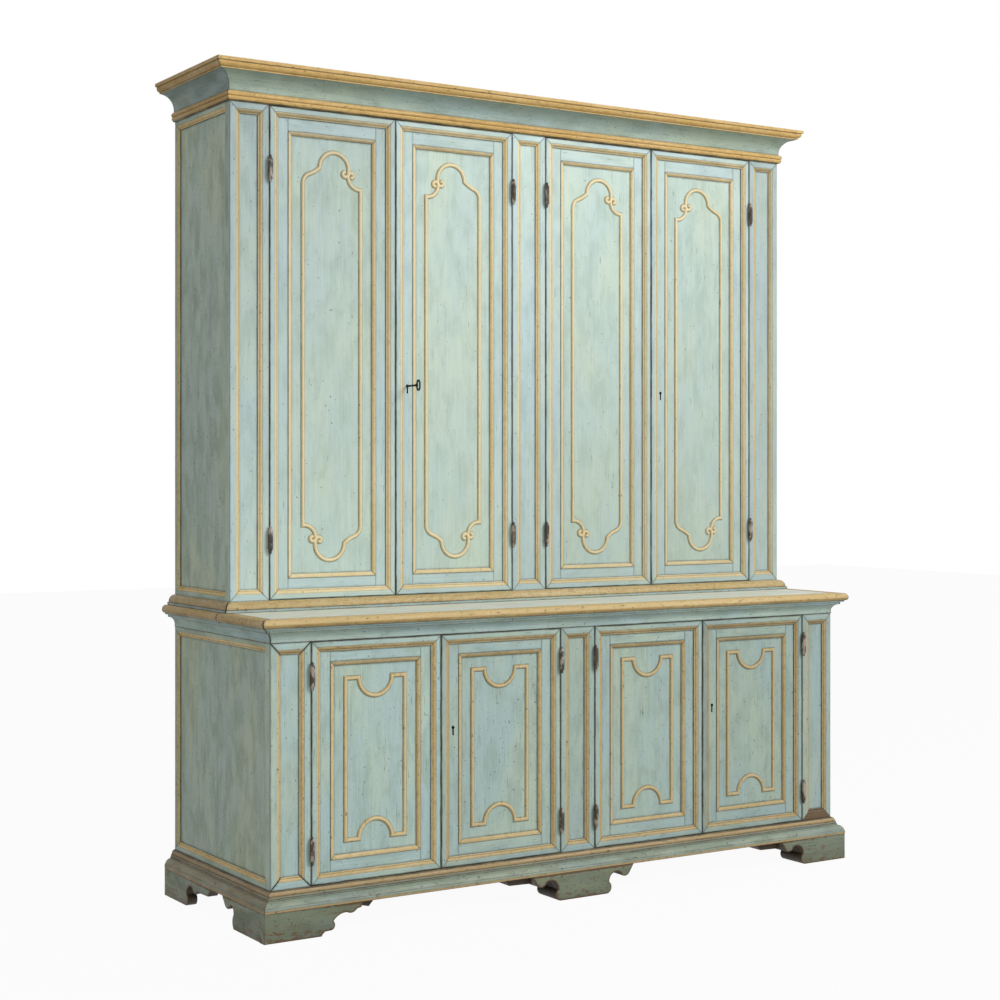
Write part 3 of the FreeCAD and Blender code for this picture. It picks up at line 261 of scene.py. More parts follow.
class CupboardSizes(bpy.types.PropertyGroup):
    """Sizes of the boards, mouldings and feet."""
    arris: length("Arris", "Softening of a board's edges", 0.0012)
    mitre_gap: length("Mitre gap", "Open joint at the end of a moulding", 0.0003)
    open_mitre: length("Open mitre", "Open joint of the counter's mouldings", 0.0018)
    strip_raise: length("Strip raise", "How far an applied strip stands off its board", 0.009)
    strip_ovolo: length("Strip ovolo", "Width of the rounded inner edge of a strip", 0.0135)
    pilaster_strip: length("Pilaster strip", "Flat of the strips on the pilasters", 0.0185)
    side_strip: length("Side strip", "Flat of the strips on the sides", 0.012)
    door_strip: length("Door strip", "Flat of the strips round a door", 0.0145)
    stile: length("Stile", "Width of a door's stiles", 0.061)
    upper_top_rail: length("Upper top rail", "Width of an upper door's top rail", 0.065)
    upper_bottom_rail: length("Upper bottom rail", "Width of an upper door's bottom rail", 0.059)
    lower_top_rail: length("Lower top rail", "Width of a lower door's top rail", 0.057)
    lower_bottom_rail: length("Lower bottom rail", "Width of a lower door's bottom rail", 0.060)
    panel_recess: length("Panel recess", "Depth of a panel behind its frame", 0.005)
    panel_thickness: length("Panel thickness", "Thickness of a door's panel", 0.010)
    bead_width: length("Bead width", "Width of the bead round a panel", 0.012)
    bead_land: length("Bead land", "Flat top of the bead round a panel", 0.004)
    bead_rise: length("Bead rise", "How far the bead stands above the stiles", 0.002)
    cartouche_margin: length("Cartouche margin", "Room between bead and cartouche", 0.031)
    rod: length("Rod", "Radius of the half-round cartouche rod", 0.0055)
    # The skirt beside a rod carries dirt and painted shade
    rod_skirt: length("Rod skirt", "Paint and dirt gathered beside the rod", 0.0025)
    arch: length("Arch", "Radius of the arch of a tall cartouche", 0.047)
    shoulder: length("Shoulder", "Radius of the shoulder of a tall cartouche", 0.030)
    swell: length("Swell", "Radius between shoulder and arch", 0.099)
    ear: length("Ear", "Radius of the ear of a tall cartouche", 0.037)
    volute: length("Volute", "First radius of the small scrolls", 0.0105)
    eye: length("Eye", "Last radius of the small scrolls", 0.0045)
    bite: length("Bite", "Radius of the bites of a low cartouche", 0.052)
    foot_thickness: length("Foot thickness", "Thickness of a bracket foot", 0.030)
    foot_backing: length("Foot backing", "Thickness of the scrolled block behind a front foot", 0.070)
    centre_foot: length("Centre foot", "Half the standing width of the centre foot", 0.082)
    corner_foot: length("Corner foot", "Standing width of a front corner foot", 0.170)
    side_foot: length("Side foot", "Standing width of a side foot at the front", 0.198)
    rear_foot: length("Rear foot", "Standing width of a side foot at the rear", 0.157)
    upper_keyhole: length("Upper keyhole", "Height of the upper keyholes", 1.508)
    lower_keyhole: length("Lower keyhole", "Height of the lower keyholes", 0.527)
    keyhole_inset: length("Keyhole inset", "From a door's edge to its keyhole", 0.043)
    keyhole_round: length("Keyhole round", "Radius of the keyhole's round end", 0.005)
    keyhole_slot: length("Keyhole slot", "Width of the keyhole's slot", 0.005)
    keyhole_drop: length("Keyhole drop", "Depth of the slot under the round end", 0.022)
    counter_thickness: length("Counter thickness", "Thickness of the counter boards", 0.028)
    counter_overhang: length("Counter overhang", "How far the counter's nose stands out", 0.042)
    plank_gap: length("Plank gap", "Open joint between two back planks", 0.0025)
    nail_head: length("Nail head", "Radius of a nail's head", 0.0042)


class CupboardColours(bpy.types.PropertyGroup):
    """Colours of the paints, the wood, the iron and the room."""
    upper_blue: colour("Upper blue", "Pale blue-green of the upper stiles", linear(192, 210, 206))
    upper_green: colour("Upper green", "Greener paint of the upper panels", linear(194, 211, 200))
    lower_blue: colour("Lower blue", "Greyer blue-green of the lower stiles", linear(174, 192, 185))
    lower_green: colour("Lower green", "Paint of the lower panels", linear(175, 193, 184))
    # The side blue is the sides' paint with painted shade in it, as the sides face away from the light
    side_blue: colour("Side blue", "Duller paint of the sides", linear(172, 184, 167))
    # The cornice blue is the hollow's paint with painted shade in it, as the hollow faces down
    cornice_blue: colour("Cornice blue", "Duller paint of the cornice's hollow", linear(162, 178, 167))
    # The ledge blue is partly the paint and partly a painted reflection of the bright room on the counter top
    ledge_blue: colour("Ledge blue", "Pale paint of the counter", linear(226, 226, 214))
    foot_blue: colour("Foot blue", "Olive remains of paint on the feet", linear(123, 129, 107))
    upper_ochre: colour("Upper ochre", "Pale ochre of the upper mouldings", linear(222, 202, 154))
    lower_ochre: colour("Lower ochre", "Browner ochre of the lower mouldings", linear(198, 174, 124))
    side_ochre: colour("Side ochre", "Yellow ochre of the sides", linear(212, 186, 130))
    cornice_ochre: colour("Cornice ochre", "Orange ochre of the cornice", linear(214, 177, 108))
    nose_ochre: colour("Nose ochre", "Rubbed ochre of the counter's edge", linear(200, 170, 112))
    base_ochre: colour("Base ochre", "Brown ochre of the base", linear(166, 140, 95))
    base_blue: colour("Base blue", "Dirty blue of the base", linear(143, 153, 139))
    # The grime colour is the colour of dirt, and also of painted shade in corners, creases and gaps
    grime: colour("Grime", "Dirt in corners and joints", linear(62, 58, 46))
    bare: colour("Bare wood", "Wood where the paint is rubbed off", linear(113, 89, 58))
    pine: colour("Pine", "Unpainted wood inside and at the back", linear(164, 128, 86))
    iron: colour("Iron", "Old iron of hinges, locks and key", linear(110, 103, 94))
    rust: colour("Rust", "Rust on the iron", linear(104, 90, 75))
    floor: colour("Floor", "Studio floor", linear(200, 200, 199))


class CupboardWear(bpy.types.PropertyGroup):
    """How old the paint looks."""
    upper: share("Upper wear", "Wear and dirt of the upper case", 0.46)
    lower: share("Lower wear", "Wear and dirt of the lower case", 0.74)
    side: share("Side wear", "Wear and dirt of the sides", 0.8)
    base: share("Base wear", "Wear and dirt of base and feet", 0.92)


# Nodes and objects
def wire(tree, kind, inputs=None, **settings):
    """A new node with its settings, each input linked to a socket or set to a value."""
    node = tree.nodes.new(kind)
    for name, value in settings.items():
        setattr(node, name, value)
    for key, value in (inputs or {}).items():
        socket = node.inputs[key]
        if isinstance(value, bpy.types.NodeSocket):
            tree.links.new(value, socket)
        elif socket.type == "RGBA":
            socket.default_value = (*value[:3], 1.0)
        else:
            socket.default_value = value
    return node


def placed(name, data):
    """A new object in the scene."""
    item = bpy.data.objects.new(name, data)
    bpy.context.scene.collection.objects.link(item)
    return item


def discard(*items):
    """Removes objects with their meshes."""
    for item in items:
        mesh = item.data
        bpy.data.objects.remove(item)
        bpy.data.meshes.remove(mesh)


def drawn(name, points, edges, faces, values=None):
    """A plain mesh, with values on its points."""
    mesh = bpy.data.meshes.new(name)
    mesh.from_pydata(points, edges, faces)
    for mask, numbers in (values or {}).items():
        mesh.attributes.new(mask, "FLOAT", "POINT").data.foreach_set("value", numbers)
    return mesh


def modified(item):
    """The mesh that an object's modifiers make."""
    bpy.context.view_layer.update()
    return bpy.data.meshes.new_from_object(item.evaluated_get(bpy.context.evaluated_depsgraph_get()))


# Materials
class Shade:
    """Short calls that build the nodes of one material."""

    def __init__(self, name):
        self.material = bpy.data.materials.new(name)
        self.material.use_nodes = True
        self.tree = self.material.node_tree
        self.tree.nodes.clear()
        self.surface = self.node("BsdfPrincipled")
        self.node("OutputMaterial", {"Surface": self.surface.outputs[0]})

    def node(self, kind, inputs=None, **settings):
        return wire(self.tree, f"ShaderNode{kind}", inputs, **settings)

    def calc(self, operation, first, second):
        return self.node("Math", {0: first, 1: second}, operation=operation).outputs[0]

    def mask(self, name):
        return self.node("Attribute", attribute_name=name).outputs["Fac"]

    def along_grain(self):
        """Metres along and across the board, with the board's own number as the third axis."""
        lay = self.node("SeparateXYZ", {0: self.node("UVMap", uv_map="grain").outputs[0]}).outputs
        return self.node("CombineXYZ", {0: lay[0], 1: lay[1], 2: self.mask("seed")}).outputs[0]

    def in_object(self):
        return self.node("TexCoord").outputs["Object"]

    def noise(self, vector, factors, detail, roughness, distortion=0.0):
        """Noise whose factors are its marks in a metre, along each axis."""
        spot = self.node("VectorMath", {0: vector, 1: factors}, operation="MULTIPLY").outputs[0]
        return self.node("TexNoise", {"Vector": spot, "Scale": 1.0, "Detail": detail, "Roughness": roughness,
                                      "Distortion": distortion}).outputs["Fac"]

    def ramp(self, value, low, high, to_low=0.0, to_high=1.0):
        numbers = dict(enumerate((value, low, high, to_low, to_high)))
        return self.node("MapRange", numbers, interpolation_type="SMOOTHSTEP").outputs[0]

    def blend(self, factor, first, second):
        return self.node("Mix", {"Factor": factor, 6: first, 7: second}, data_type="RGBA").outputs[2]

    def coats(self, under, rgb, coats):
        """Lays coats over a colour, each of (value, low, high, least cover, most cover, factors of rgb)."""
        for *cover, factors in coats:
            under = self.blend(self.ramp(*cover), under, tint(rgb, factors))
        return under

    def toned(self, rgb):
        """The colour made lighter or darker by the painted light and shade on its points."""
        return self.node("VectorMath", {0: rgb, "Scale": self.mask("tone")}, operation="SCALE").outputs[0]

    def bump(self, height, strength, distance):
        node = self.node("Bump", {"Strength": strength, "Distance": distance, "Height": height})
        self.tree.links.new(node.outputs[0], self.surface.inputs["Normal"])

    def done(self, base, roughness, metallic=0.0):
        self.tree.links.new(base, self.surface.inputs["Base Color"])
        self.tree.links.new(roughness, self.surface.inputs["Roughness"])
        self.surface.inputs["Metallic"].default_value = metallic
        return self.material


def tint(rgb, factors):
    return tuple(min(1.0, max(0.0, c * f)) for c, f in zip(rgb, factors))


def aged_paint(name, blue, ochre, colours, age):
    """Brushed distemper in two colours, with dirt and painted shade in its corners, rubbed through on its
    edges, and a painted highlight where its ochre is worn.
    """
    shade = Shade(name)
    lay = shade.along_grain()
    wear = shade.mask("wear")
    drift = shade.noise(lay, (2.3, 7.0, 9.0), 3.0, 0.55)
    cloud = shade.noise(lay, (10.0, 24.0, 5.0), 4.0, 0.62, 0.4)
    brush = shade.noise(lay, (6.0, 240.0, 3.0), 4.0, 0.62)
    grit = shade.noise(lay, (210.0, 260.0, 7.0), 3.0, 0.6)
    patch = shade.noise(lay, (46.0, 90.0, 4.0), 4.0, 0.65)
    smoke = shade.noise(lay, (16.0, 40.0, 11.0), 4.0, 0.6)
    flecks = shade.noise(lay, (120.0, 170.0, 13.0), 1.0, 0.4)
    scores = shade.noise(lay, (22.0, 340.0, 17.0), 1.0, 0.4)
    swing = 0.14 * age
    cool = tint(blue, (1 - swing, 1 - 0.4 * swing, 1 + 0.3 * swing))
    warm = tint(blue, (1 + 0.4 * swing, 1 + 0.3 * swing, 1 - 0.8 * swing))
    body = shade.coats(shade.blend(shade.ramp(drift, 0.36, 0.66), cool, warm), blue, (
        (cloud, 0.4, 0.7, 0.0, 0.75 * age, (0.66, 0.69, 0.64)),
        (brush, 0.48, 0.72, 0.0, 0.5, (1.16, 1.13, 1.1)),
        (brush, 0.26, 0.46, 0.55 * age, 0.0, (0.6, 0.66, 0.66)),
        (grit, 0.5, 0.72, 0.0, 0.4 * age, (0.68, 0.7, 0.64)),
    ))
    brown, cream = tint(ochre, (0.94, 0.9, 0.8)), tint(ochre, (1.05, 1.06, 1.12))
    gold = shade.coats(shade.blend(shade.ramp(drift, 0.38, 0.64), brown, cream), ochre, (
        (patch, 0.45, 0.68, 0.0, 0.75 * age, (0.66, 0.6, 0.5)),
        (grit, 0.5, 0.72, 0.0, 0.55, (1.18, 1.2, 1.3)),
        (grit, 0.28, 0.46, 0.8 * age, 0.0, (0.56, 0.5, 0.42)),
        # Painted highlight: the ochre turns cream where the wear and highlight mask is high, on arrises, rod
        # tops and lengths that face the light
        (wear, 0.05, 0.6, 0.0, 0.75, (1.2, 1.28, 1.5)),
    ))
    ragged = shade.calc("MULTIPLY", shade.calc("SUBTRACT", patch, 0.5), 0.6)
    edge = shade.ramp(shade.calc("ADD", shade.mask("ochre"), ragged), 0.34, 0.66)
    soot = shade.ramp(smoke, 0.28, 0.66, 0.45, 1.0)
    # Dirt and painted shade where the grime and shade mask is high, broken up by noise
    dirt_and_shade = shade.calc("MULTIPLY", shade.ramp(shade.mask("grime"), 0.0, 1.0, 0.0, 0.9), soot)
    paint = shade.blend(dirt_and_shade, shade.blend(edge, body, gold), colours.grime)
    paint = shade.coats(paint, colours.grime, (
        (flecks, 0.81 - 0.17 * age, 0.84 - 0.06 * age, 0.0, 0.75, (0.8, 0.85, 0.85)),
        (scores, 0.77 - 0.13 * age, 0.82, 0.0, 0.65, (1.2, 1.2, 1.1)),
    ))
    rub = shade.calc("ADD", shade.calc("MULTIPLY", wear, 0.42), patch)
    rub = shade.calc("ADD", rub, shade.ramp(wear, 0.75, 1.0, 0.0, 0.3))
    chip = shade.ramp(rub, 0.94 - 0.16 * age, 1.02 - 0.16 * age)
    wood = shade.blend(shade.ramp(brush, 0.3, 0.7), tint(colours.bare, (0.7, 0.68, 0.62)), colours.bare)
    wood = shade.blend(shade.calc("MULTIPLY", dirt_and_shade, 0.75), wood, tint(colours.grime, (0.6, 0.5, 0.45)))
    relief = shade.calc("ADD", shade.calc("MULTIPLY", brush, 0.5), shade.calc("MULTIPLY", grit, 0.25))
    relief = shade.calc("SUBTRACT", relief, shade.calc("MULTIPLY", chip, 0.5))
    shade.bump(relief, 0.4, 0.0007)
    return shade.done(shade.toned(shade.blend(chip, paint, wood)), shade.ramp(cloud, 0.3, 0.7, 0.46, 0.72))


def old_pine(name, rgb, grain):
    """Unpainted wood with its grain along one axis."""
    shade = Shade(name)
    lay = shade.in_object()
    broad, fine = (tuple(along if axis == grain else across for axis in range(3))
                   for along, across in ((1.6, 22.0), (7.0, 260.0)))
    rings = shade.noise(lay, broad, 3.0, 0.55, 1.2)
    fibre = shade.noise(lay, fine, 3.0, 0.6)
    stain = shade.noise(lay, (5.0, 5.0, 5.0), 3.0, 0.6)
    late, early = tint(rgb, (0.72, 0.66, 0.58)), tint(rgb, (1.12, 1.1, 1.05))
    wood = shade.coats(shade.blend(shade.ramp(rings, 0.36, 0.64), late, early), rgb, (
        (fibre, 0.52, 0.76, 0.0, 0.55, (0.5, 0.42, 0.34)),
        (stain, 0.5, 0.75, 0.0, 0.45, (0.55, 0.5, 0.45)),
    ))
    shade.bump(shade.calc("ADD", fibre, shade.calc("MULTIPLY", rings, 0.6)), 0.4, 0.0006)
    return shade.done(wood, shade.ramp(fibre, 0.3, 0.7, 0.62, 0.82))


def old_iron(name, iron, brown):
    """Forged iron with rust in its pits, and bright patches of painted highlight, a shine as if handled."""
    shade = Shade(name)
    lay = shade.in_object()
    rust = shade.noise(lay, (130.0, 130.0, 90.0), 4.0, 0.65)
    pits = shade.noise(lay, (600.0, 600.0, 600.0), 2.0, 0.6)
    worn = shade.noise(lay, (60.0, 60.0, 34.0), 2.0, 0.5)
    metal = shade.blend(shade.ramp(rust, 0.44, 0.62), iron, brown)
    metal = shade.coats(metal, brown, ((worn, 0.42, 0.56, 0.75, 0.0, (0.26, 0.24, 0.22)),))
    metal = shade.coats(metal, iron, (
        (pits, 0.5, 0.7, 0.0, 0.7, (0.4, 0.4, 0.4)),
        # Painted highlight: bright patches where the worn noise is high
        (worn, 0.5, 0.6, 0.0, 0.85, (2.7, 2.6, 2.5)),
    ))
    shade.bump(shade.calc("ADD", pits, rust), 0.5, 0.0005)
    return shade.done(metal, shade.ramp(rust, 0.35, 0.7, 0.4, 0.75), 0.25)


def finish(name):
    """The finish of that name, made on first use."""
    known = bpy.data.materials.get(name)
    if known:
        return known
    colours = bpy.context.scene.cupboard_colours
    if name in PAINTS:
        blue, ochre, age = PAINTS[name]
        return aged_paint(name, tuple(getattr(colours, blue)), tuple(getattr(colours, ochre)), colours,
                          getattr(bpy.context.scene.cupboard_wear, age))
    if name == "old_iron":
        return old_iron(name, tuple(colours.iron), tuple(colours.rust))
    if name == "dark_iron":
        return old_iron(name, tint(colours.iron, (0.22, 0.21, 0.2)), tint(colours.rust, (0.25, 0.22, 0.2)))
    # Near-black wood for the keyhole's walls: painted shade inside the hole
    if name == "dark_wood":
        return old_pine(name, tint(colours.grime, (0.35, 0.35, 0.35)), 2)
    return old_pine(name, tuple(colours.pine), ("pine_x", "pine_y", "pine_z").index(name))


# Meshes
class Joinery:
    """Gathers the solids of one piece, with paint masks on their points and a UV along the grain."""

    def __init__(self, *finishes):
        self.finishes = finishes
        self.points = []
        self.masks = []
        self.faces = []
        self.lays = []
        self.slots = []
        self.known = {}
        self.seed = 0.0
        self.grade(0.0, 1.0, (1.0, 1.0))

    def grade(self, foot, head, tones):
        """Lets the painted light and shade of what follows go from the first factor at the foot
        to the second at the head.
        """
        self.span = (foot, head)
        self.tones = tones

    def tone(self, height):
        part = (height - self.span[0]) / (self.span[1] - self.span[0])
        part = min(1.0, max(0.0, part))
        return self.tones[0] + part * (self.tones[1] - self.tones[0])

    def solid(self, seed):
        """Starts a new solid, which shares no point with the one before."""
        self.known = {}
        self.seed = seed

    def point(self, spot, ochre=0.0, grime=0.0, wear=0.0):
        key = tuple(round(c * 1e6) for c in spot)
        if key not in self.known:
            self.known[key] = len(self.points)
            self.points.append(tuple(spot))
            self.masks.append((ochre, min(1.0, grime), min(1.0, wear), self.seed, self.tone(spot[2])))
        return self.known[key]

    def face(self, corners, lay, slot=0):
        kept = [i for i, corner in enumerate(corners) if corner not in corners[:i]]
        if len(kept) > 2:
            self.faces.append([corners[i] for i in kept])
            self.lays.append([lay[i] for i in kept])
            self.slots.append(slot)

    def loft(self, rings, slot=0, cap=None):
        """Closes rings of (point, lay) into a solid; cap is the lay of both ends, if not the rings' own."""
        for here, there in pairwise(rings):
            for i, j in pairwise((*range(len(here)), 0)):
                quad = (here[i], here[j], there[j], there[i])
                self.face([point for point, lay in quad], [lay for point, lay in quad], slot)
        for ring in (rings[0], rings[-1]):
            self.face([point for point, lay in ring], cap or [lay for point, lay in ring], slot)

    def take(self, mesh, *slots):
        """Adds a finished mesh, with its grain upright; slots are for its first and second material."""
        first = len(self.points)
        self.points += [tuple(v.co) for v in mesh.vertices]
        columns = []
        for name in MASKS:
            layer = mesh.attributes.get(name)
            if name == "tone":
                columns.append([self.tone(v.co.z) for v in mesh.vertices])
            else:
                columns.append([d.value for d in layer.data] if layer else [0.0] * len(mesh.vertices))
        self.masks += list(zip(*columns))
        for polygon in mesh.polygons:
            self.faces.append([first + i for i in polygon.vertices])
            self.lays.append([(mesh.vertices[i].co.z, mesh.vertices[i].co.x) for i in polygon.vertices])
            self.slots.append(slots[min(polygon.material_index, len(slots) - 1)])

    def mesh(self, name):
        columns = dict(zip(MASKS, zip(*self.masks)))
        mesh = drawn(name, self.points, [], self.faces, columns)
        lay = mesh.uv_layers.new(name="grain")
        lay.data.foreach_set("uv", [c for loop in self.lays for spot in loop for c in spot])
        for material in self.finishes:
            mesh.materials.append(finish(material))
        mesh.polygons.foreach_set("material_index", self.slots)
        shell = bmesh.new()
        shell.from_mesh(mesh)
        bmesh.ops.recalc_face_normals(shell, faces=shell.faces)
        shell.to_mesh(mesh)
        shell.free()
        mesh.shade_smooth()
        mesh.set_sharp_from_angle(angle=SHARP)
        return mesh

    def build(self, name, body, nodes, slot):
        piece = placed(name, self.mesh(name))
        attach(piece, body)
        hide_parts(*nodes)


def seed_of(*words):
    """A steady number between 0 and 40 for a board's name."""
    total = 7
    for letter in "/".join(str(word) for word in words):
        total = (total * 131 + ord(letter)) % 100003
    return total / 100003 * 40


def board(piece, low, high, grain, seed, seams=(), shown=(1, 0), slots=None):
    """A board with softened arrises. A seam is (axis, place, reach): dirt and painted shade gather along it
    on the shown face. A face is (axis, 0 for low or 1 for high), and slots gives the material of such faces."""
    piece.solid(seed)
    arris = bpy.context.scene.cupboard_sizes.arris
    outer = list(zip(low, high))
    inner = [(first + arris, last - arris) for first, last in outer]
    lines = []
    for axis, (first, last) in enumerate(inner):
        marks = {mark for step in EDGE_ROWS for mark in (first + step, last - step)}
        for seam_axis, place, reach in seams:
            if seam_axis == axis:
                marks |= {place, place - reach, place + reach, place - reach / 3, place + reach / 3}
        kept = [first]
        for mark in sorted(marks):
            if mark - kept[-1] > LEAST_ROW and last - mark > LEAST_ROW:
                kept.append(mark)
        lines.append(kept + [last])

    def spot(*places):
        values = dict(places)
        return [values[axis] for axis in range(3)]

    def corner(place, face):
        dirt_and_shade = [0.0]
        if face == shown:
            dirt_and_shade += [SEAM_DIRT_AND_SHADE - SEAM_DIRT_AND_SHADE * abs(place[axis] - line) / reach for axis, line, reach in seams]
        return piece.point(place, 0.0, max(dirt_and_shade))

    def lay(place, normal):
        across = next(axis for axis in range(3) if axis not in (normal, grain))
        return place[grain], place[across] + FACE_SHIFT * normal

    for normal, side in product(range(3), (0, 1)):
        first, second = (axis for axis in range(3) if axis != normal)
        level = (normal, outer[normal][side])
        slot = (slots or {}).get((normal, side), 0)
        for (u, u_next), (v, v_next) in product(pairwise(lines[first]), pairwise(lines[second])):
            ring = [spot(level, (first, a), (second, b))
                    for a, b in ((u, v), (u_next, v), (u_next, v_next), (u, v_next))]
            piece.face([corner(s, (normal, side)) for s in ring], [lay(s, normal) for s in ring], slot)
    for axis, i, j in product(range(3), (0, 1), (0, 1)):
        first, second = (other for other in range(3) if other != axis)
        here = ((first, outer[first][i]), (second, inner[second][j]))
        there = ((first, inner[first][i]), (second, outer[second][j]))
        for t, t_next in pairwise(lines[axis]):
            ring = [spot((axis, along), *edge)
                    for along, edge in ((t, here), (t_next, here), (t_next, there), (t, there))]
            piece.face([piece.point(s) for s in ring], [lay(s, axis) for s in ring])
    for ends in product((0, 1), repeat=3):
        out = [outer[axis][end] for axis, end in enumerate(ends)]
        into = [inner[axis][end] for axis, end in enumerate(ends)]
        ring = [into[:axis] + [out[axis]] + into[axis + 1:] for axis in range(3)]
        piece.face([piece.point(s) for s in ring], [(0, 0), (0.001, 0), (0, 0.001)])


def arc(start, end, roundness, bulge, steps):
    """Points on an arc after its start, bulging to the right of its way if bulge is 1."""
    chord = (end - start).length
    radius = roundness * chord / 2
    middle = (start + end) / 2
    ahead = (end - start) / chord
    left = Vector((-ahead.y, ahead.x))
    centre = middle + left * bulge * math.sqrt(max(0.0, radius ** 2 - chord ** 2 / 4))
    spread = 2 * math.asin(min(1.0, chord / 2 / radius))
    first = start - centre
    points = []
    for step in range(1, steps + 1):
        turn = bulge * spread * step / steps
        points.append(centre + Vector((first.x * math.cos(turn) - first.y * math.sin(turn),
                                       first.x * math.sin(turn) + first.y * math.cos(turn))))
    return points


def section(corners, rub=1.0, soot=1.0):
    """A closed section from corners (out, up, paint), the paint being that of the edge which ends there,
    1 for ochre; an arc adds its roundness and bulge. Gives rows of (out, up, ochre, dirt with painted shade,
    wear with painted highlight)."""
    edges = []
    for index, (out, up, paint, *curve) in enumerate(corners):
        start, end = Vector(corners[index - 1][:2]), Vector((out, up))
        edges.append(([start] + (arc(start, end, *curve, ARC_STEPS) if curve else [end]), paint))
    rows = []
    for index, (points, paint) in enumerate(edges):
        following, next_paint = edges[(index + 1) % len(edges)]
        corner, mixed = points[-1], (paint + next_paint) / 2
        come, go = corner - points[-2], following[1] - following[0]
        near, near_after = (min(CORNER_REACH, way.length / 3) for way in (come, go))
        cut = min(EASE, come.length / 4, go.length / 4)
        come, go = come.normalized(), go.normalized()
        bend = come.x * go.y - come.y * go.x
        rows += [(point, paint, 0.0, 0.0) for point in points[1:-1]]
        # Outer corner: wear, which also paints a highlight along the arris
        if bend > CORNER_TURN:
            rows += [(corner - come * near, paint, 0.0, WEAR_AND_HIGHLIGHT_BESIDE * rub),
                     (corner - come * cut, paint, 0.0, rub),
                     (corner + go * cut, next_paint, 0.0, rub),
                     (corner + go * near_after, next_paint, 0.0, WEAR_AND_HIGHLIGHT_BESIDE * rub)]
        # Inner corner: dirt and painted shade in the crease
        elif bend < -CORNER_TURN:
            rows += [(corner - come * near, paint, DIRT_AND_SHADE_BESIDE * soot, 0.0),
                     (corner, mixed, soot, 0.0),
                     (corner + go * near_after, next_paint, DIRT_AND_SHADE_BESIDE * soot, 0.0)]
        else:
            rows.append((corner, mixed, 0.0, 0.0))
    return [(p.x, p.y, paint, grime, wear) for p, paint, grime, wear in rows]


def moulding(piece, rows, origin, along, out, up, run, mitres, seed, slot=0, soil=0.0, rub=0.0, gap=None):
    """A length of moulding. A mitre of 1 shortens its outer side at that end, and -1 lengthens it. Dirt
    gathers at mitred ends, and at both ends where a gap is given."""
    piece.solid(seed)
    opened = gap is not None
    gap = gap if opened else bpy.context.scene.cupboard_sizes.mitre_gap
    around = [0.0]
    for here, there in pairwise(rows):
        around.append(around[-1] + math.hypot(there[0] - here[0], there[1] - here[1]))
    reach = OPEN_REACH if opened else END_REACH
    first, last = ([(part * reach / run, dark if mitre or opened else 0.0) for part, dark in END_DIRT]
                   for mitre in mitres)
    loops = []
    for t, dark in first + [(1.0 - t, dark) for t, dark in reversed(last)]:
        loop = []
        for (a, b, ochre, grime, wear), way in zip(rows, around):
            start = mitres[0] * a + gap
            end = run - mitres[1] * a - gap
            place = start + t * (end - start)
            spot = origin + along * place + out * a + up * b
            loop.append((piece.point(spot, ochre, max(grime, dark, soil), max(wear, rub)), (place, way)))
        loops.append(loop)
    piece.loft(loops, slot, [row[:2] for row in rows])


def picture_frame(piece, rows, corner, width, height, seed, soils=(0, 0, 0, 0), rubs=(0, 0, 0, 0), gap=None):
    """Four mitred lengths round a rectangle, from its lower left corner: bottom, right, top, left."""
    sides = (
        (corner, X, Z, width),
        (corner + X * width, Z, -X, height),
        (corner + X * width + Z * height, -X, -Z, width),
        (corner + Z * height, -Z, X, height),
    )
    for number, (start, along, inward, run) in enumerate(sides):
        # Painted shade on lengths facing away from the light, painted highlight on those facing it
        shaded, highlit = OCHRE_SHADE[number], OCHRE_HIGHLIGHT[number]
        aged = [(a, b, c, max(d, shaded), max(e, highlit)) if c > OCHRE_FROM else (a, b, c, d, e)
                for a, b, c, d, e in rows]
        moulding(piece, aged, start, along, inward, -Y, run, (1, 1), seed + FRAME_SEED * number, 0,
                 soils[number], rubs[number], gap)


def surround(piece, rows, half, face, low, rear, seed, rub, gap, dull, brown):
    """Three mitred lengths, across the front and along both sides, which are darker with painted shade and
    browner.
    """
    moulding(piece, rows, Vector((-half, face, low)), X, -Y, Z, 2 * half, (-1, -1), seed, 0, 0.0, rub, gap)
    # Painted shade: the side lengths are made darker
    piece.grade(0.0, 1.0, (dull, dull))
    rows = [(a, b, max(c, brown), d, e) for a, b, c, d, e in rows]
    for side in SIDES:
        moulding(piece, rows, Vector((side * half, face, low)), Y, X * side, Z, rear - face, (-1, 0),
                 seed + SIDE_SEED + SIDE_SEED_STEP * side, 0, 0.0, rub, gap)


def sawn_board(piece, outline, origin, across, out, thickness, seed, bare=0.0):
    """An upright board sawn to an outline, its front arris softened and rubbed, its sawn edges dark with
    painted shade. Bare 1 leaves it unpainted and darker with painted shade."""
    piece.solid(seed)
    turned = []
    for before, here, after in zip(outline[-1:] + outline, outline, outline[1:] + outline[:1]):
        come, go = (here - before).normalized(), (after - here).normalized()
        normal = Vector((-come.y - go.y, come.x + go.x))
        turned.append(normal.normalized() / max(0.4, normal.length / 2))
    rings = []
    for depth, (inset, *worn) in zip((0.0, thickness - SAWN_ARRIS) + (thickness,) * 3, SAWN_RINGS):
        ring = []
        for spot, inward in zip(outline, turned):
            flat = spot + inward * inset
            sole = max(0.0, 1.0 - flat.y / SOLE)
            wear, grime, tone = SAWN_END if spot.x == 0.0 else worn
            # Painted shade darkens an unpainted block
            tone *= 1.0 - BARE_SHADE * bare
            piece.grade(0.0, 1.0, (tone, tone))
            mark = piece.point(origin + across * flat.x + Z * flat.y + out * depth, 0.0,
                               max(grime, SOLE_DIRT * sole, BARE_DIRT_AND_SHADE * bare),
                               max(wear, SOLE_WEAR * sole, bare))
            ring.append((mark, (flat.x, flat.y + depth)))
        rings.append(ring)
    piece.loft(rings)


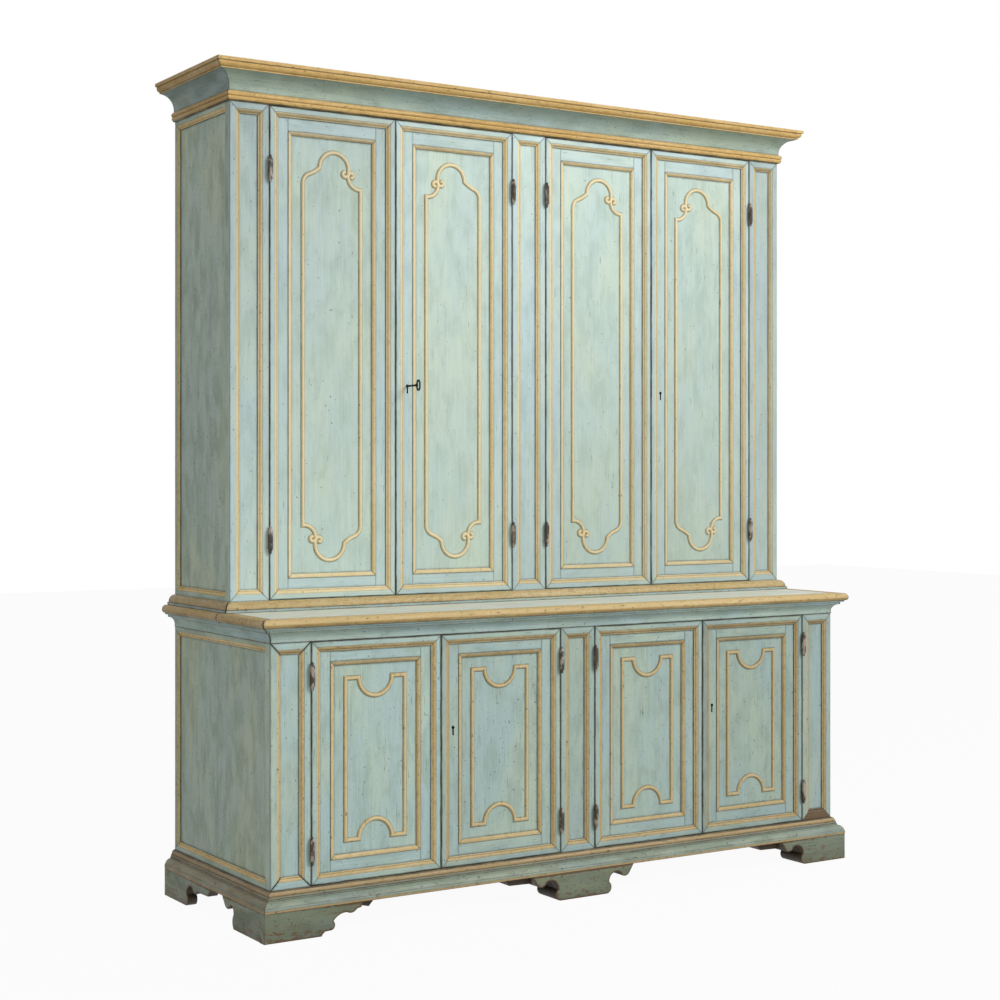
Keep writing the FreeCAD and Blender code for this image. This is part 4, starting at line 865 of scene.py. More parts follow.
# Geometry node trees
def new_tree(name):
    """A tree that takes points, a shape and a material, and its input node."""
    tree = bpy.data.node_groups.new(name, "GeometryNodeTree")
    for label, way, kind in (("Geometry", "INPUT", "Geometry"), ("Shape", "INPUT", "Object"),
                             ("Material", "INPUT", "Material"), ("Geometry", "OUTPUT", "Geometry")):
        tree.interface.new_socket(label, in_out=way, socket_type=f"NodeSocket{kind}")
    return tree, tree.nodes.new("NodeGroupInput")


def end_tree(tree, given, geometry):
    """Makes what grew plain mesh, gives it the material, and ends the tree."""
    real = wire(tree, "GeometryNodeRealizeInstances", {"Geometry": geometry})
    painted = wire(tree, "GeometryNodeSetMaterial", {"Geometry": real.outputs[0],
                                                     "Material": given.outputs["Material"]})
    wire(tree, "NodeGroupOutput", {0: painted.outputs[0]})
    return tree


def rod_tree():
    """A rod of the given section bent along its path; corners keep their mitre and ends their taper."""
    known = bpy.data.node_groups.get("bent_rod")
    if known:
        return known
    tree, given = new_tree("bent_rod")
    mitre, taper = (wire(tree, "GeometryNodeInputNamedAttribute", {"Name": name}).outputs[0]
                    for name in ("mitre", "taper"))
    path = wire(tree, "GeometryNodeMeshToCurve", {"Mesh": given.outputs["Geometry"]})
    upright = wire(tree, "GeometryNodeSetCurveNormal", {"Curve": path.outputs[0]}, mode="Z_UP")
    shape = wire(tree, "GeometryNodeObjectInfo", {"Object": given.outputs["Shape"]})
    edge = wire(tree, "GeometryNodeMeshToCurve", {"Mesh": shape.outputs["Geometry"]})
    size = wire(tree, "ShaderNodeMath", {0: mitre, 1: taper}, operation="MULTIPLY")
    swept = wire(tree, "GeometryNodeCurveToMesh", {
        "Curve": upright.outputs[0], "Profile Curve": edge.outputs[0], "Scale": size.outputs[0],
        "Fill Caps": True})
    spot = wire(tree, "GeometryNodeInputPosition")
    x, y, z = wire(tree, "ShaderNodeSeparateXYZ", {0: spot.outputs[0]}).outputs
    lowered = wire(tree, "ShaderNodeMath", {0: z, 1: mitre}, operation="DIVIDE")
    again = wire(tree, "ShaderNodeCombineXYZ", {0: x, 1: y, 2: lowered.outputs[0]})
    settled = wire(tree, "GeometryNodeSetPosition", {
        "Geometry": swept.outputs[0], "Position": again.outputs[0]})
    return end_tree(tree, given, settled.outputs[0])


def repeat_tree():
    """Sets one shape on every point."""
    known = bpy.data.node_groups.get("repeated_shape")
    if known:
        return known
    tree, given = new_tree("repeated_shape")
    shape = wire(tree, "GeometryNodeObjectInfo", {"Object": given.outputs["Shape"]})
    spread = wire(tree, "GeometryNodeInstanceOnPoints", {"Points": given.outputs["Geometry"],
                                                         "Instance": shape.outputs["Geometry"]})
    return end_tree(tree, given, spread.outputs[0])


def grown(tree, points, edges, values, shape, material):
    """The plain mesh that a tree makes from points and edges, their values and a shape."""
    carrier = placed("path", drawn("path", points, edges, [], values))
    modifier = carrier.modifiers.new("grow", "NODES")
    modifier.node_group = tree
    sockets = {s.name: s.identifier for s in tree.interface.items_tree if s.in_out == "INPUT"}
    modifier[sockets["Shape"]] = shape
    modifier[sockets["Material"]] = material
    mesh = modified(carrier)
    carrier.modifiers.remove(modifier)
    discard(carrier)
    return mesh


# Sections of this cupboard's own mouldings
def strip_rows(flat, dark):
    """A strip with an ochre roll and a quirked fillet; painted shade darkens its inner drop, and its outer
    edge beside the gap.
    """
    sizes = bpy.context.scene.cupboard_sizes
    top = sizes.strip_raise
    inner = flat + sizes.strip_ovolo
    rows = section((
        (0.0, 0.0, 0.0), (inner, 0.0, 0.0), (inner, 0.38 * top, 0.0), (inner - 0.0032, 0.5 * top, 1.0),
        (inner - 0.0042, 0.36 * top, 1.0), (inner - 0.005, 0.5 * top, 1.0),
        (flat + 0.0006, 0.84 * top, 1.0, 1.6, 1), (flat, top, 0.0), (0.0, top, 0.0),
    ), 0.3, 0.7)
    dressed = []
    for out, up, ochre, grime, wear in rows:
        # Painted shade on the inner drop at the strip's foot
        if out > inner - 0.0002:
            grime = 1.0
        # Painted shade on the outer edge, widening the dark of the gap
        if out < 0.0022 and up > 0.001:
            if up > 0.999 * top and not dressed[-1][0] < 0.005:
                dressed.append((0.0034, up, 0.0, 0.0, 0.0))
            grime, wear = dark, 0.0
        dressed.append((out, up, ochre, grime, wear))
    return dressed


def bead_rows():
    """An ochre bead round a panel, with dirt and painted shade at its foot and where it meets the frame."""
    sizes = bpy.context.scene.cupboard_sizes
    height = sizes.panel_recess + sizes.bead_rise
    rows = section((
        (0.0, 0.0, 1.0), (sizes.bead_width, 0.0, 1.0), (sizes.bead_land, height, 1.0, OVOLO, 1),
        (0.0, height, 1.0),
    ), 0.15)
    dressed = []
    for out, up, ochre, grime, wear in rows:
        # Foot of the bead: less ochre, with dirt and painted shade
        if out > sizes.bead_land and up < 0.3 * height:
            ochre, grime = 0.3, 0.85
        # Where the bead meets the frame: dirt and painted shade of the gap
        if out < 0.0012 and up > 0.5 * height:
            ochre, grime = 0.4, 0.7
        dressed.append((out, up, ochre, grime, wear))
    return dressed


def nose_rows(rub):
    """A thumb moulding over a small fillet, darker below with dirt and painted shade, and rubbed lighter
    above with wear and a painted highlight.
    """
    sizes = bpy.context.scene.cupboard_sizes
    reach, top = sizes.counter_overhang, sizes.counter_thickness
    middle = 0.0145
    rows = section((
        (0.0, 0.0, 0.0), (reach - 0.010, 0.0, 0.0), (reach - 0.010, 0.005, 0.0), (reach - 0.006, 0.005, 0.0),
        (reach, middle, 1.0, 1.87, 1), (reach - 0.009, top, 1.0, 1.8, 1), (0.0, top, 1.0),
    ), 0.5)
    dressed = []
    for out, up, ochre, grime, wear in rows:
        # Lower half, which faces down: dirt and painted shade; upper half: wear with painted highlight
        if ochre > OCHRE_FROM and up < middle - 0.001:
            grime, wear = max(grime, 0.4), 0.0
        elif ochre > OCHRE_FROM:
            wear = max(wear, rub)
        dressed.append((out, up, ochre, grime, wear))
    return dressed


# Operators
def spots(node):
    """Low and high corner of a CAD node's box."""
    low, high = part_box(node)
    return Vector(low), Vector(high)


def four_seams(left, right, bottom, top, reach):
    """Seams along the four sides of a rectangle on a front."""
    return [(0, left, reach), (0, right, reach), (2, bottom, reach), (2, top, reach)]


class CUPBOARD_OT_feet(bpy.types.Operator):
    """Bracket feet sawn with a scroll at each free end"""
    bl_idname = "cupboard.feet"
    bl_label = "Feet"

    def execute(self, context):
        sizes = context.scene.cupboard_sizes
        low, high = spots("bracket_feet")
        rise = high.z - low.z
        piece = Joinery("foot_paint")

        def scroll(flat, steps):
            edge = [Vector((flat, 0.0))]
            for across, height, *curve in steps:
                spot = Vector((flat + across, height))
                edge += arc(edge[-1], spot, *curve, ARC_STEPS) if curve else [spot]
            return edge

        def one_sided(flat, steps):
            return [Vector((0.0, 0.0))] + scroll(flat, steps) + [Vector((0.0, rise))]

        # Steps of a scroll: how far past the standing width, height, and roundness and bulge of an arc
        plump = ((0.010, 0.034, 1.045, 1), (0.050, 0.058, LOBE, -1), (0.084, 0.054, LOBE, 1), (0.100, rise))
        toed = ((0.004, 0.006), (0.011, 0.012), (0.030, 0.013), (0.036, 0.037, LOBE, 1),
                (0.078, 0.056, 2.0, -1), (0.108, 0.062, OVOLO, 1), (0.122, 0.065), (0.124, rise))
        short = ((0.002, 0.040, OVOLO, 1), (0.022, 0.061, LOBE, -1), (0.062, 0.060, LOBE, 1), (0.078, rise))
        tail = ((0.160, 0.056), (0.182, rise))
        thick, deep = sizes.foot_thickness, sizes.foot_backing
        front = low.y + thick
        rear = front + deep
        for name, ends, place, depth, bare in (("foot", plump, front, thick, 0.0),
                                               ("block", plump[:-1] + tail, rear, deep, 1.0)):
            left = scroll(sizes.centre_foot, ends)
            centre = [Vector((-p.x, p.y)) for p in reversed(left)] + scroll(sizes.centre_foot, plump)
            sawn_board(piece, centre, Vector((0, place, low.z)), X, -Y, depth, seed_of("centre", name), bare)
        for side, edge, ends in ((-1, low.x, toed), (1, high.x, plump)):
            inner = edge - side * thick
            outward = X * side
            corner = one_sided(sizes.corner_foot, ends)
            block = one_sided(sizes.corner_foot - thick, ends[:-1] + tail)
            side_foot = one_sided(sizes.side_foot - thick, short)
            rear_foot = one_sided(sizes.rear_foot, plump[:-1] + tail)
            for name, outline, x, y, across, out, depth, bare in (
                    ("foot", corner, edge, front, -outward, -Y, thick, 0.0),
                    ("block", block, inner, rear, -outward, -Y, deep, 1.0),
                    ("side_foot", side_foot, inner, front, Y, outward, thick, 0.0),
                    ("rear_foot", rear_foot, inner, high.y, -Y, outward, thick, 0.0)):
                sawn_board(piece, outline, Vector((x, y, low.z)), across, out, depth, seed_of(name, side),
                           bare)
        piece.build("bracket_feet_painted", "case", ["bracket_feet"], "painted_wood")
        return {"FINISHED"}


class CUPBOARD_OT_surrounds(bpy.types.Operator):
    """Base, cove, plinth and cornice, in mitred lengths round the front and sides"""
    bl_idname = "cupboard.surrounds"
    bl_label = "Surrounding mouldings"

    def execute(self, context):
        rear = spots("cornice")[1].y
        for node, (case, paint, slot, joint, opened, rub, dull, brown) in SURROUNDS.items():
            rows = section(*PROFILES[node])
            # Dirt and painted shade along the joint with the case
            if joint is not None:
                rows = [(a, b, c, JOINT_DIRT_AND_SHADE if abs(b - joint) < JOINT_REACH else d, e)
                        for a, b, c, d, e in rows]
            half = spots(f"{case}_sides")[1].x
            face = spots(f"{case}_pilasters")[0].y
            gap = context.scene.cupboard_sizes.open_mitre if opened else None
            piece = Joinery(paint)
            surround(piece, rows, half, face, spots(node)[0].z, rear, seed_of(node), rub, gap, dull, brown)
            piece.build(f"{node}_painted", "case", [node], slot)
        return {"FINISHED"}


class CUPBOARD_OT_counter(bpy.types.Operator):
    """Counter boards with a moulded nose in five lengths"""
    bl_idname = "cupboard.counter"
    bl_label = "Counter"

    def execute(self, context):
        sizes = context.scene.cupboard_sizes
        low, high = spots("counter_top")
        half = high.x - sizes.counter_overhang
        front = low.y + sizes.counter_overhang
        joint = spots("upper_pilasters")[0].y - sizes.strip_raise
        piece = Joinery("counter_paint", "pine_x", "ledge_paint")
        slots = {(2, 0): 1, (1, 1): 1, (2, 1): 2}
        # Painted shadow and dirt on the counter before the upper case
        seams = ((1, joint - LEDGE_SHADOW, LEDGE_SEAM),)
        board(piece, (-half, front, low.z), (half, joint, high.z), 0, seed_of("ledge"), seams, (2, 1), slots)
        board(piece, (-half, joint, low.z), (half, high.y, high.z), 0, seed_of("shelf"), (), (2, 1), slots)
        gap = sizes.open_mitre
        moulding(piece, nose_rows(NOSE_RUB), Vector((-half, front, low.z)), X, -Y, Z, 2 * half, (-1, -1),
                 seed_of("nose"), gap=gap)
        # Painted shade: the side noses are darker
        piece.grade(0.0, 1.0, (SIDE_NOSE_SHADE, SIDE_NOSE_SHADE))
        rows = nose_rows(SIDE_NOSE_RUB)
        for side in SIDES:
            for name, first, last, mitre in (("nose", front, joint, -1), ("rear_nose", joint, high.y, 0)):
                moulding(piece, rows, Vector((side * half, first, low.z)), Y, X * side, Z, last - first,
                         (mitre, 0), seed_of(name, side), gap=gap)
        piece.build("counter_top_painted", "case", ["counter_top"], "painted_wood")
        return {"FINISHED"}


class CUPBOARD_OT_carcass(bpy.types.Operator):
    """Sides and pilasters of both cases, with their applied strips"""
    bl_idname = "cupboard.carcass"
    bl_label = "Sides and pilasters"

    def execute(self, context):
        for case in CASES:
            self.sides(context.scene.cupboard_sizes, case)
            self.pilasters(context.scene.cupboard_sizes, case)
        return {"FINISHED"}

    def sides(self, sizes, case):
        low, high = spots(f"{case}_sides")
        opening, head = (c.z for c in spots(f"{case}_pilasters"))
        reach = sizes.side_strip + sizes.strip_ovolo
        thick = (high.x - low.x) / 2 - spots(f"{case}_bottom_board")[1].x
        seams = [(axis, place, SIDE_SEAM)
                 for axis, place in ((2, opening + reach), (2, head - reach), (1, high.y - reach))]
        piece = Joinery("side_paint", "pine_z")
        for side in SIDES:
            left, right = sorted((side * high.x, side * (high.x - thick)))
            outside = int(side > 0)
            board(piece, (left, low.y, low.z), (right, high.y, high.z), 2, seed_of(case, "side", side), seams,
                  (0, outside), {(0, 1 - outside): 1, (1, 1): 1})
        piece.build(f"{case}_sides_painted", "case", [f"{case}_sides"], "painted_wood")

    def pilasters(self, sizes, case):
        low, high = spots(f"{case}_pilasters")
        width = round(spots(f"{case}_door_1_leaf")[0].x - low.x - DOOR_GAP, 4)
        tall = high.z - low.z
        reach = sizes.pilaster_strip + sizes.strip_ovolo
        boards, strips = (Joinery(f"{case}_paint", "side_paint") for _ in range(2))
        rows = strip_rows(sizes.pilaster_strip, PILASTER_EDGE_SHADE)
        for number, left in enumerate((low.x, -width / 2, high.x - width)):
            for wood in (boards, strips):
                # Painted light and shade: the pilaster lighter or darker from foot to head
                wood.grade(low.z, high.z, PILASTER_LIGHT_AND_SHADE[case][number])
            seams = four_seams(left + reach, left + width - reach, low.z + reach, high.z - reach, STRIP_SEAM)
            board(boards, (left, low.y, low.z), (left + width, high.y, high.z), 2,
                  seed_of(case, "pilaster", number), seams, (1, 0), {(0, 0): 1} if number == 0 else None)
            bare = BARE_PATCH if case == "lower" and number == 2 else 0.0
            gap = sizes.open_mitre if case == "lower" and number == 0 else None
            picture_frame(strips, rows, Vector((left, low.y, low.z)), width, tall,
                          seed_of(case, "strip", number), rubs=(bare, 0, 0, 0), gap=gap)
        strips.grade(low.z, high.z, (1.0, 1.0))
        corner = spots(f"{case}_sides")[1]
        rows = strip_rows(sizes.side_strip, SIDE_EDGE_SHADE)
        depth = corner.y - high.y
        lengths = ((low.z, -Y, Z, depth, (1, 0)), (high.z, -Y, -Z, depth, (1, 0)),
                   (low.z, Z, -Y, tall, (1, 1)))
        for side in SIDES:
            seed = seed_of(case, "side_strip", side)
            for number, (level, along, inward, run, mitres) in enumerate(lengths):
                start = Vector((side * corner.x, corner.y, level))
                moulding(strips, rows, start, along, inward, X * side, run, mitres, seed + 2 * number, 1)
        boards.build(f"{case}_pilasters_painted", "case", [f"{case}_pilasters"], "painted_wood")
        strips.build(f"{case}_case_mouldings_painted", "case", [f"{case}_case_mouldings"], "ochre_paint")


class CUPBOARD_OT_back(bpy.types.Operator):
    """Back planks with open joints and rows of nails"""
    bl_idname = "cupboard.back"
    bl_label = "Back planks"

    def execute(self, context):
        sizes = context.scene.cupboard_sizes
        nail = self.nail_shape(sizes.nail_head)
        for case in CASES:
            low, high = spots(f"{case}_back_boards")
            width = (high.x - low.x) / PLANKS
            face = high.y - NAIL_RISE
            gap = sizes.plank_gap / 2
            blank = Joinery("pine_z")
            board(blank, (gap, low.y, low.z), (width - gap, face, high.z), 2, 0.0)
            plank = placed("plank", blank.mesh("plank"))
            plank.data.attributes.remove(plank.data.attributes["seed"])
            starts = [(low.x + i * width, 0.0, 0.0) for i in range(PLANKS)]
            seeds = [seed_of(case, "plank", i) for i in range(PLANKS)]
            levels = (low.z + NAIL_INSET, (low.z + high.z) / 2, high.z - NAIL_INSET)
            heads = [(low.x + (i + across) * width, face, level)
                     for i, level, across in product(range(PLANKS), levels, NAIL_PLACES)]
            piece = Joinery("pine_z", "old_iron")
            piece.take(grown(repeat_tree(), starts, [], {"seed": seeds}, plank, finish("pine_z")), 0)
            piece.take(grown(repeat_tree(), heads, [], {}, nail, finish("old_iron")), 1)
            piece.build(f"{case}_back_planks", "case", [f"{case}_back_boards"], "bare_wood")
            discard(plank)
        discard(nail)
        return {"FINISHED"}

    def nail_shape(self, radius):
        """A low domed head that faces the rear, sunk in the wood."""
        rings = ((0.6, 0.0006), (1.0, 0.0001), (1.0, -0.001))
        turns = [2 * math.pi * i / NAIL_SIDES for i in range(NAIL_SIDES)]
        points = [(0.0, NAIL_RISE, 0.0)]
        for scale, depth in rings:
            points += [(radius * scale * math.cos(t), depth, radius * scale * math.sin(t)) for t in turns]
        sides = list(pairwise((*range(NAIL_SIDES), 0)))
        faces = [(0, 1 + i, 1 + j) for i, j in sides]
        for base in (1, 1 + NAIL_SIDES):
            faces += [(base + i, base + NAIL_SIDES + i, base + NAIL_SIDES + j, base + j) for i, j in sides]
        faces.append(tuple(range(1 + 2 * NAIL_SIDES, 1 + 3 * NAIL_SIDES)))
        return placed("nail", drawn("nail", points, [], faces))


class Path:
    """Points of a rod's path across a panel, drawn by turns and bends."""

    def __init__(self, spot, heading):
        self.points = [(Vector(spot), 1.0)]
        self.heading = heading

    def bend(self, first, last, turn, steps):
        """Bends through turn degrees, to the left if positive, the radius going from first to last."""
        for step in range(steps):
            radius = first + (last - first) * (step + 0.5) / steps
            angle = turn / steps
            chord = 2 * radius * math.sin(math.radians(abs(angle)) / 2)
            way = math.radians(self.heading + angle / 2)
            spot = self.points[-1][0] + Vector((math.cos(way), math.sin(way))) * chord
            self.points.append((spot, 1.0))
            self.heading += angle
        return self

    def round_off(self, rod):
        """Ends in a rounded tip."""
        spot = self.points[-1][0]
        way = Vector((math.cos(math.radians(self.heading)), math.sin(math.radians(self.heading))))
        for share_of in (0.35, 0.65, 0.85, 0.97):
            self.points.append((spot + way * rod * share_of, math.sqrt(1 - share_of ** 2)))
        return self


class CUPBOARD_OT_doors(bpy.types.Operator):
    """Doors of stiles, rails and panel, with strips, beads and a cartouche"""
    bl_idname = "cupboard.doors"
    bl_label = "Doors"

    def execute(self, context):
        sizes = context.scene.cupboard_sizes
        rod = self.rod_section(sizes)
        for case, number in product(CASES, DOORS):
            low, high = spots(f"{case}_door_{number}_leaf")
            left, right = low.x + sizes.stile, high.x - sizes.stile
            bottom = low.z + getattr(sizes, f"{case}_bottom_rail")
            top = high.z - getattr(sizes, f"{case}_top_rail")
            opening = (left, right, bottom, top)
            self.leaf(sizes, case, number, low, high, opening)
            self.mouldings(sizes, case, number, low, high, opening, rod)
        discard(rod)
        return {"FINISHED"}

    def leaf(self, sizes, case, number, low, high, opening):
        name = f"{case}_door_{number}"
        left, right, bottom, top = opening
        reach = sizes.door_strip + sizes.strip_ovolo
        seams = four_seams(low.x + reach, high.x - reach, low.z + reach, high.z - reach, STRIP_SEAM)
        piece = Joinery(f"{case}_paint", f"{case}_panel", "dark_wood")
        # Painted light and shade: the door lighter or darker from foot to head
        piece.grade(low.z, high.z, DOOR_LIGHT_AND_SHADE[case][number - 1])
        for word, first, last, edge in (("left", low.x, left, left), ("right", right, high.x, right)):
            locked = word == "left" and number % 2 == 0
            stile = Joinery(f"{case}_paint") if locked else piece
            seed = seed_of(name, word)
            joint = [(0, edge, STILE_SEAM)]
            board(stile, (first, low.y, low.z), (last, high.y, high.z), 2, seed, seams + joint)
            if locked:
                hole = Vector((low.x + sizes.keyhole_inset, low.y, getattr(sizes, f"{case}_keyhole")))
                piece.take(self.with_keyhole(sizes, stile, hole, high.y, seed), 0, 2)
        for word, first, last, edge in (("bottom", low.z, bottom, bottom), ("top", top, high.z, top)):
            joints = [(0, left, RAIL_SEAM), (0, right, RAIL_SEAM), (2, edge, STILE_SEAM)]
            board(piece, (left + RAIL_ROOM, low.y, first), (right - RAIL_ROOM, high.y, last), 0,
                  seed_of(name, word), seams + joints)
        edge = sizes.bead_width
        seams = four_seams(left + edge, right - edge, bottom + edge, top - edge, BEAD_SEAM)
        face = low.y + sizes.panel_recess
        board(piece, (left - PANEL_LAP, face, bottom - PANEL_LAP),
              (right + PANEL_LAP, face + sizes.panel_thickness, top + PANEL_LAP), 2, seed_of(name, "panel"),
              seams, (1, 0), {(1, 0): 1, (1, 1): 1})
        piece.build(f"{name}_leaf_painted", name, [f"{name}_leaf"], "painted_wood")

    def with_keyhole(self, sizes, stile, centre, rear, seed):
        """The stile with a keyhole cut through it, whose walls take the second material."""
        radius, half, drop = sizes.keyhole_round, sizes.keyhole_slot / 2, sizes.keyhole_drop
        first = math.degrees(math.asin(half / radius))
        turns = [math.radians(-90 + first + (360 - 2 * first) * step / KEYHOLE_STEPS)
                 for step in range(KEYHOLE_STEPS + 1)]
        outline = [(radius * math.cos(t), radius * math.sin(t)) for t in turns]
        outline += [(-half, -drop), (half, -drop)]
        count = len(outline)
        levels = (centre.y - KEYHOLE_PASS, rear + KEYHOLE_PASS)
        points = [(centre.x + x, y, centre.z + z) for y in levels for x, z in outline]
        faces = [tuple(range(count)), tuple(range(2 * count - 1, count - 1, -1))]
        faces += [(i, count + i, count + j, j) for i, j in pairwise((*range(count), 0))]
        hole = placed("keyhole", drawn("keyhole", points, [], faces))
        plain = placed("stile", stile.mesh("stile"))
        cut = plain.modifiers.new("keyhole", "BOOLEAN")
        cut.operation = "DIFFERENCE"
        cut.solver = "EXACT"
        cut.object = hole
        mesh = modified(plain)
        plain.modifiers.remove(cut)
        discard(hole, plain)
        row = {"ochre": 0.0, "grime": 0.0, "wear": 0.0, "seed": seed, "tone": 1.0}
        near = {v.index for v in mesh.vertices
                if math.hypot(v.co.x - centre.x, v.co.z - centre.z) < KEYHOLE_NEAR * drop}
        for name, index in product(MASKS, near):
            mesh.attributes[name].data[index].value = row[name]
        for polygon in mesh.polygons:
            polygon.material_index = int(near.issuperset(polygon.vertices) and abs(polygon.normal.y) < 0.1)
        return mesh

    def mouldings(self, sizes, case, number, low, high, opening, rod):
        name = f"{case}_door_{number}"
        left, right, bottom, top = opening
        piece = Joinery(f"{case}_paint", f"{case}_panel")
        # Painted light and shade: the door's mouldings lighter or darker from foot to head
        piece.grade(low.z, high.z, DOOR_LIGHT_AND_SHADE[case][number - 1])
        free = FREE_DIRT_AND_SHADE[case]
        # Dirt at the foot, and dirt with painted shade on the free edge of a door that stands proud
        soils = (0.6 * free, 0.0, 0.0, free * number / 4 if number % 2 == 0 else 0.0)
        picture_frame(piece, strip_rows(sizes.door_strip, DOOR_EDGE_SHADE), low, high.x - low.x, high.z - low.z,
                      seed_of(name, "strip"), soils)
        face = low.y + sizes.panel_recess
        picture_frame(piece, bead_rows(), Vector((left, face, bottom)), right - left, top - bottom,
                      seed_of(name, "bead"))
        margin = sizes.bead_width + sizes.cartouche_margin + sizes.rod
        half_width = (right - left) / 2 - margin
        half_height = (top - bottom) / 2 - margin
        if case == "upper":
            runs = self.tall_cartouche(sizes, half_width, half_height, 1 if number % 2 else -1)
        else:
            runs = self.low_cartouche(sizes, half_width, half_height)
        points, edges, mitres, tapers = [], [], [], []
        for run, closed in runs:
            first, count = len(points), len(run)
            for index, (spot, taper) in enumerate(run):
                before = run[index - 1][0] if index or closed else spot
                after = run[(index + 1) % count][0] if index < count - 1 or closed else spot
                turn = (spot - before).angle(after - spot, 0.0) if before != spot != after else 0.0
                points.append((spot.x, spot.y, 0.0))
                mitres.append(1.0 / math.cos(turn / 2))
                tapers.append(taper)
            order = [first + i for i in range(count)] + ([first] if closed else [])
            edges += pairwise(order)
        values = {"mitre": mitres, "taper": tapers}
        mesh = grown(rod_tree(), points, edges, values, rod, finish(f"{case}_panel"))
        middle = Vector(((left + right) / 2, face, (bottom + top) / 2))
        for vertex in mesh.vertices:
            vertex.co = middle + Vector((vertex.co.x, vertex.co.z, vertex.co.y))
        seed = mesh.attributes.get("seed") or mesh.attributes.new("seed", "FLOAT", "POINT")
        seed.data.foreach_set("value", [seed_of(name, "panel")] * len(mesh.vertices))
        piece.take(mesh, 1)
        piece.build(f"{name}_mouldings_painted", name, [f"{name}_mouldings"], "ochre_paint")

    def rod_section(self, sizes):
        """A half-round with a thin skirt of paint on both sides; dirt and painted shade gather at its foot
        and on the skirt, and a painted highlight runs along its top.
        """
        rod, wide = sizes.rod, sizes.rod + sizes.rod_skirt
        skirt = [(wide, -0.0008, 0.0, 0.0), (wide, 0.0001, 0.0, 0.0), (rod + 0.0005, 0.0003, 0.0, 0.95)]
        rows = list(skirt)
        for step in range(13):
            turn = math.radians(6 + 168 * step / 12)
            # Painted shade towards the rod's foot
            low = max(0.0, 1.0 - math.sin(turn) / 0.4)
            rows.append((rod * math.cos(turn), rod * math.sin(turn), 1.0, 0.7 * low))
        rows += [(-across, *rest) for across, *rest in reversed(skirt)]
        # Painted highlight along the rod's top, through the wear and highlight mask
        values = {"ochre": [row[2] for row in rows], "grime": [row[3] for row in rows],
                  "wear": [0.5 * max(0.0, row[1] / rod) ** 3 for row in rows]}
        points = [(row[0], row[1], 0.0) for row in rows]
        edges = list(pairwise((*range(len(rows)), 0)))
        return placed("rod_section", drawn("rod_section", points, edges, [], values))

    def tall_cartouche(self, sizes, half_width, half_height, mirror):
        """A scrolled head, the same turned upside down, and two verticals; mirror -1 turns it round."""
        rise = sizes.shoulder * math.sin(math.radians(70))
        rise += 2 * sizes.swell * math.sin(math.radians(11.5)) * math.sin(math.radians(31.5))
        foot = Vector((-half_width, half_height - sizes.arch - rise))
        ear = Path((half_width, foot.y - 0.006), 186).bend(sizes.ear, sizes.ear, -96, 12)
        ear.bend(sizes.volute, sizes.eye, -285, 20).round_off(sizes.rod * 0.8)
        shoulder = Path(foot, 90).bend(sizes.shoulder, sizes.shoulder, -70, 9)
        shoulder.bend(sizes.swell, sizes.swell, 23, 6)
        arch_start = shoulder.points[-1][0].copy()
        shoulder.round_off(sizes.rod)
        arch = Path(arch_start, 90).bend(sizes.arch, sizes.arch, -196, 28)
        arch.bend(sizes.volute, sizes.eye, -270, 20).round_off(sizes.rod * 0.8)
        side = list(reversed(ear.points)) + [(Vector((-p.x, -p.y)), t) for p, t in shoulder.points]
        return [([(Vector((turn * mirror * p.x, turn * p.y)), t) for p, t in points], False)
                for turn, points in product((1, -1), (side, arch.points))]

    def low_cartouche(self, sizes, half_width, half_height):
        """A rectangle with square ears and a half-round bite out of its top and bottom."""
        bite = Path((-sizes.bite, half_height), -90).bend(sizes.bite, sizes.bite, 180, 24)
        left, right = ((Vector((x, half_height)), 1.0) for x in (-half_width, half_width))
        half = [left, *bite.points, right]
        return [(half + [(Vector((-p.x, -p.y)), t) for p, t in half], True)]


def dress(node, material):
    """Gives a CAD node a finish in place of its own."""
    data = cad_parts[node].data
    data.materials.clear()
    data.materials.append(finish(material))


class CUPBOARD_OT_ironwork(bpy.types.Operator):
    """Iron finish for hinges, locks, bolts and key, which keep their CAD shape"""
    bl_idname = "cupboard.ironwork"
    bl_label = "Ironwork"

    def execute(self, context):
        dress("key", "dark_iron")
        dress("hinge_pins", "old_iron")
        for case, number in product(CASES, DOORS):
            for fitting in ("ironwork", "slide_bolt" if number % 2 else "lock_bolt"):
                dress(f"{case}_door_{number}_{fitting}", "old_iron")
        return {"FINISHED"}


class CUPBOARD_OT_inside(bpy.types.Operator):
    """Bare wood for the boards inside and under the cases, which keep their CAD shape"""
    bl_idname = "cupboard.inside"
    bl_label = "Inside woodwork"

    def execute(self, context):
        for material, nodes in INSIDE.items():
            for node in nodes:
                dress(node, material)
        return {"FINISHED"}


